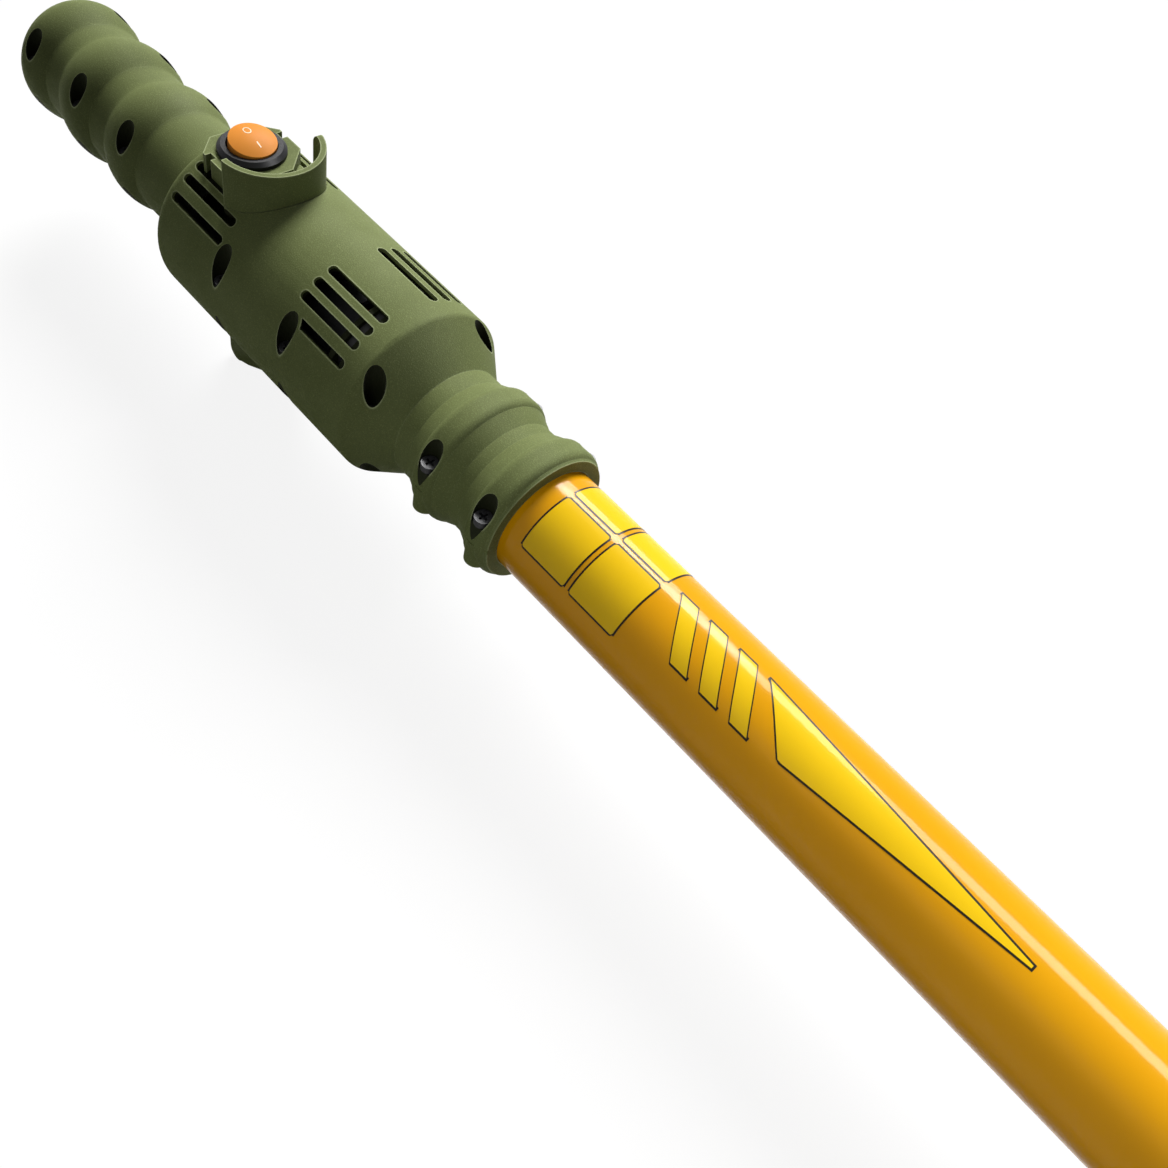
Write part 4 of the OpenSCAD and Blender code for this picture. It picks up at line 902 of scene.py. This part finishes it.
for row, span in enumerate(FIELD_SPANS):
    for column, (low, high) in enumerate(FIELD_ARCS):
        outlined_film("pole_field_%d%d" % (row + 1, column + 1), span, field(span, low, high))
for number in range(BAR_COUNT):
    outlined_film("pole_bar_%d" % (number + 1), *bar(BAR_START + BAR_PITCH * number))
outlined_film("pole_flash", FLASH_SPAN, flash)

# %% [markdown]
# ## Boots at the finger roots
# Each carbon finger leaves its comb through a short ribbed rubber boot that takes the shock. Ten equal
# boots are a job for Geometry Nodes. The first half of the tree makes one boot: a line is given a round
# profile whose size tapers and ripples along it.

# %% Boot tree: one boot
BOOT_SIZES = {"Boot Length": 0.022, "Root Radius": 0.0056, "Tip Radius": 0.0038, "Rib Height": 0.0005,
              "Rib Count": 5.0}
BOOT_STEPS = 61
BOOT_SIDES = 28

boot_tree = bpy.data.node_groups.new("finger_boots", "GeometryNodeTree")
boot_tree.interface.new_socket("Geometry", in_out="INPUT", socket_type="NodeSocketGeometry")
for label, value in BOOT_SIZES.items():
    socket = boot_tree.interface.new_socket(label, in_out="INPUT", socket_type="NodeSocketFloat")
    socket.default_value = value
rubber_socket = boot_tree.interface.new_socket("Rubber", in_out="INPUT", socket_type="NodeSocketMaterial")
boot_tree.interface.new_socket("Geometry", in_out="OUTPUT", socket_type="NodeSocketGeometry")


def boot_node(kind, **inputs):
    """A node in the boot tree; the names of the inputs have _ for a space."""
    node = boot_tree.nodes.new(kind)
    for label, value in inputs.items():
        feed(boot_tree, value, node.inputs[label.replace("_", " ")])
    return node


given = boot_node("NodeGroupInput").outputs
line_end = join(boot_tree, Z=given["Boot Length"])
line = boot_node("GeometryNodeCurvePrimitiveLine", End=line_end).outputs["Curve"]
fine_line = boot_node("GeometryNodeResampleCurve", Curve=line, Count=BOOT_STEPS).outputs["Curve"]
along = boot_node("GeometryNodeSplineParameter").outputs["Factor"]
taper = math_node(boot_tree, "SUBTRACT", given["Tip Radius"], given["Root Radius"])
narrowing = math_node(boot_tree, "MULTIPLY", along, taper)
cone_radius = math_node(boot_tree, "ADD", given["Root Radius"], narrowing)
ribs_passed = math_node(boot_tree, "MULTIPLY", along, given["Rib Count"])
wave = math_node(boot_tree, "SINE", math_node(boot_tree, "MULTIPLY", ribs_passed, 2 * math.pi))
ripple = math_node(boot_tree, "MULTIPLY", wave, given["Rib Height"])
radius = math_node(boot_tree, "ADD", cone_radius, ripple)
circle = boot_node("GeometryNodeCurvePrimitiveCircle", Resolution=BOOT_SIDES, Radius=1.0).outputs["Curve"]
tube = boot_node("GeometryNodeCurveToMesh", Curve=fine_line, Profile_Curve=circle, Scale=radius,
                 Fill_Caps=True)
print("nodes for one boot:", len(boot_tree.nodes))

# %% [markdown]
# ## A boot for every finger
# The second half of the tree puts the boot on one point per finger and turns it to the finger's own
# direction, which the point carries as an attribute. The copies are made real and get their rubber, so
# that a plain mesh comes out.

# %% Boot tree: all boots
finger_axis = boot_node("GeometryNodeInputNamedAttribute")
finger_axis.data_type = "FLOAT_VECTOR"
finger_axis.inputs["Name"].default_value = "finger_axis"
aim = boot_node("FunctionNodeAlignRotationToVector", Vector=finger_axis.outputs["Attribute"])
aim.axis = "Z"
boots = boot_node("GeometryNodeInstanceOnPoints", Points=given["Geometry"], Instance=tube.outputs["Mesh"],
                  Rotation=aim.outputs["Rotation"])
real_boots = boot_node("GeometryNodeRealizeInstances", Geometry=boots.outputs["Instances"])
coloured = boot_node("GeometryNodeSetMaterial", Geometry=real_boots.outputs["Geometry"],
                     Material=given["Rubber"])
boot_node("NodeGroupOutput", Geometry=coloured.outputs["Geometry"])
print("boot tree nodes:", len(boot_tree.nodes))

# %% [markdown]
# ## Placing the boots
# Each finger is one island of its solid, found with the same helper as the screws. The two ends of an
# island give a finger's root and direction. The boots start just inside the front of the comb's cross
# bar.

# %% Boots on both combs
BOOT_SUNK = 0.002


def finger_lines(node):
    """Root and direction of every finger of a comb, from its solid."""
    lines = []
    for island in islands(node):
        ordered = sorted(island, key=lambda place: place.x)
        count = len(ordered) // 2
        root = sum(ordered[:count], Vector()) / count
        tip = sum(ordered[-count:], Vector()) / count
        lines.append((root, (tip - root).normalized()))
    return sorted(lines, key=lambda item: item[0].y)


def add_boots(name, finger_node, comb_node, body):
    """Rubber boots on all fingers of one comb."""
    bar_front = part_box(comb_node)[1].x
    lines = finger_lines(finger_node)
    points = [root + axis * ((bar_front - root.x) / axis.x - BOOT_SUNK) for root, axis in lines]
    mesh = bpy.data.meshes.new(name + "_points")
    mesh.from_pydata([tuple(p) for p in points], [], [])
    attribute = mesh.attributes.new("finger_axis", "FLOAT_VECTOR", "POINT")
    for item, line in zip(attribute.data, lines):
        item.vector = line[1]
    maker = new_object(name + "_maker", mesh)
    modifier = maker.modifiers.new("boots", "NODES")
    modifier.node_group = boot_tree
    modifier[rubber_socket.identifier] = FINISHES["black_rubber"]
    graph = bpy.context.evaluated_depsgraph_get()
    made = bpy.data.meshes.new_from_object(maker.evaluated_get(graph))
    bpy.data.objects.remove(maker)
    made.name = name
    made.polygons.foreach_set("use_smooth", [True] * len(made.polygons))
    piece = new_object(name, made)
    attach(piece, body)
    return piece


upper_boots = add_boots("upper_boots", "upper_fingers", "upper_comb", "upper_swing")
lower_boots = add_boots("lower_boots", "lower_fingers", "lower_comb", "lower_swing")
print("boot faces:", len(upper_boots.data.polygons), len(lower_boots.data.polygons))
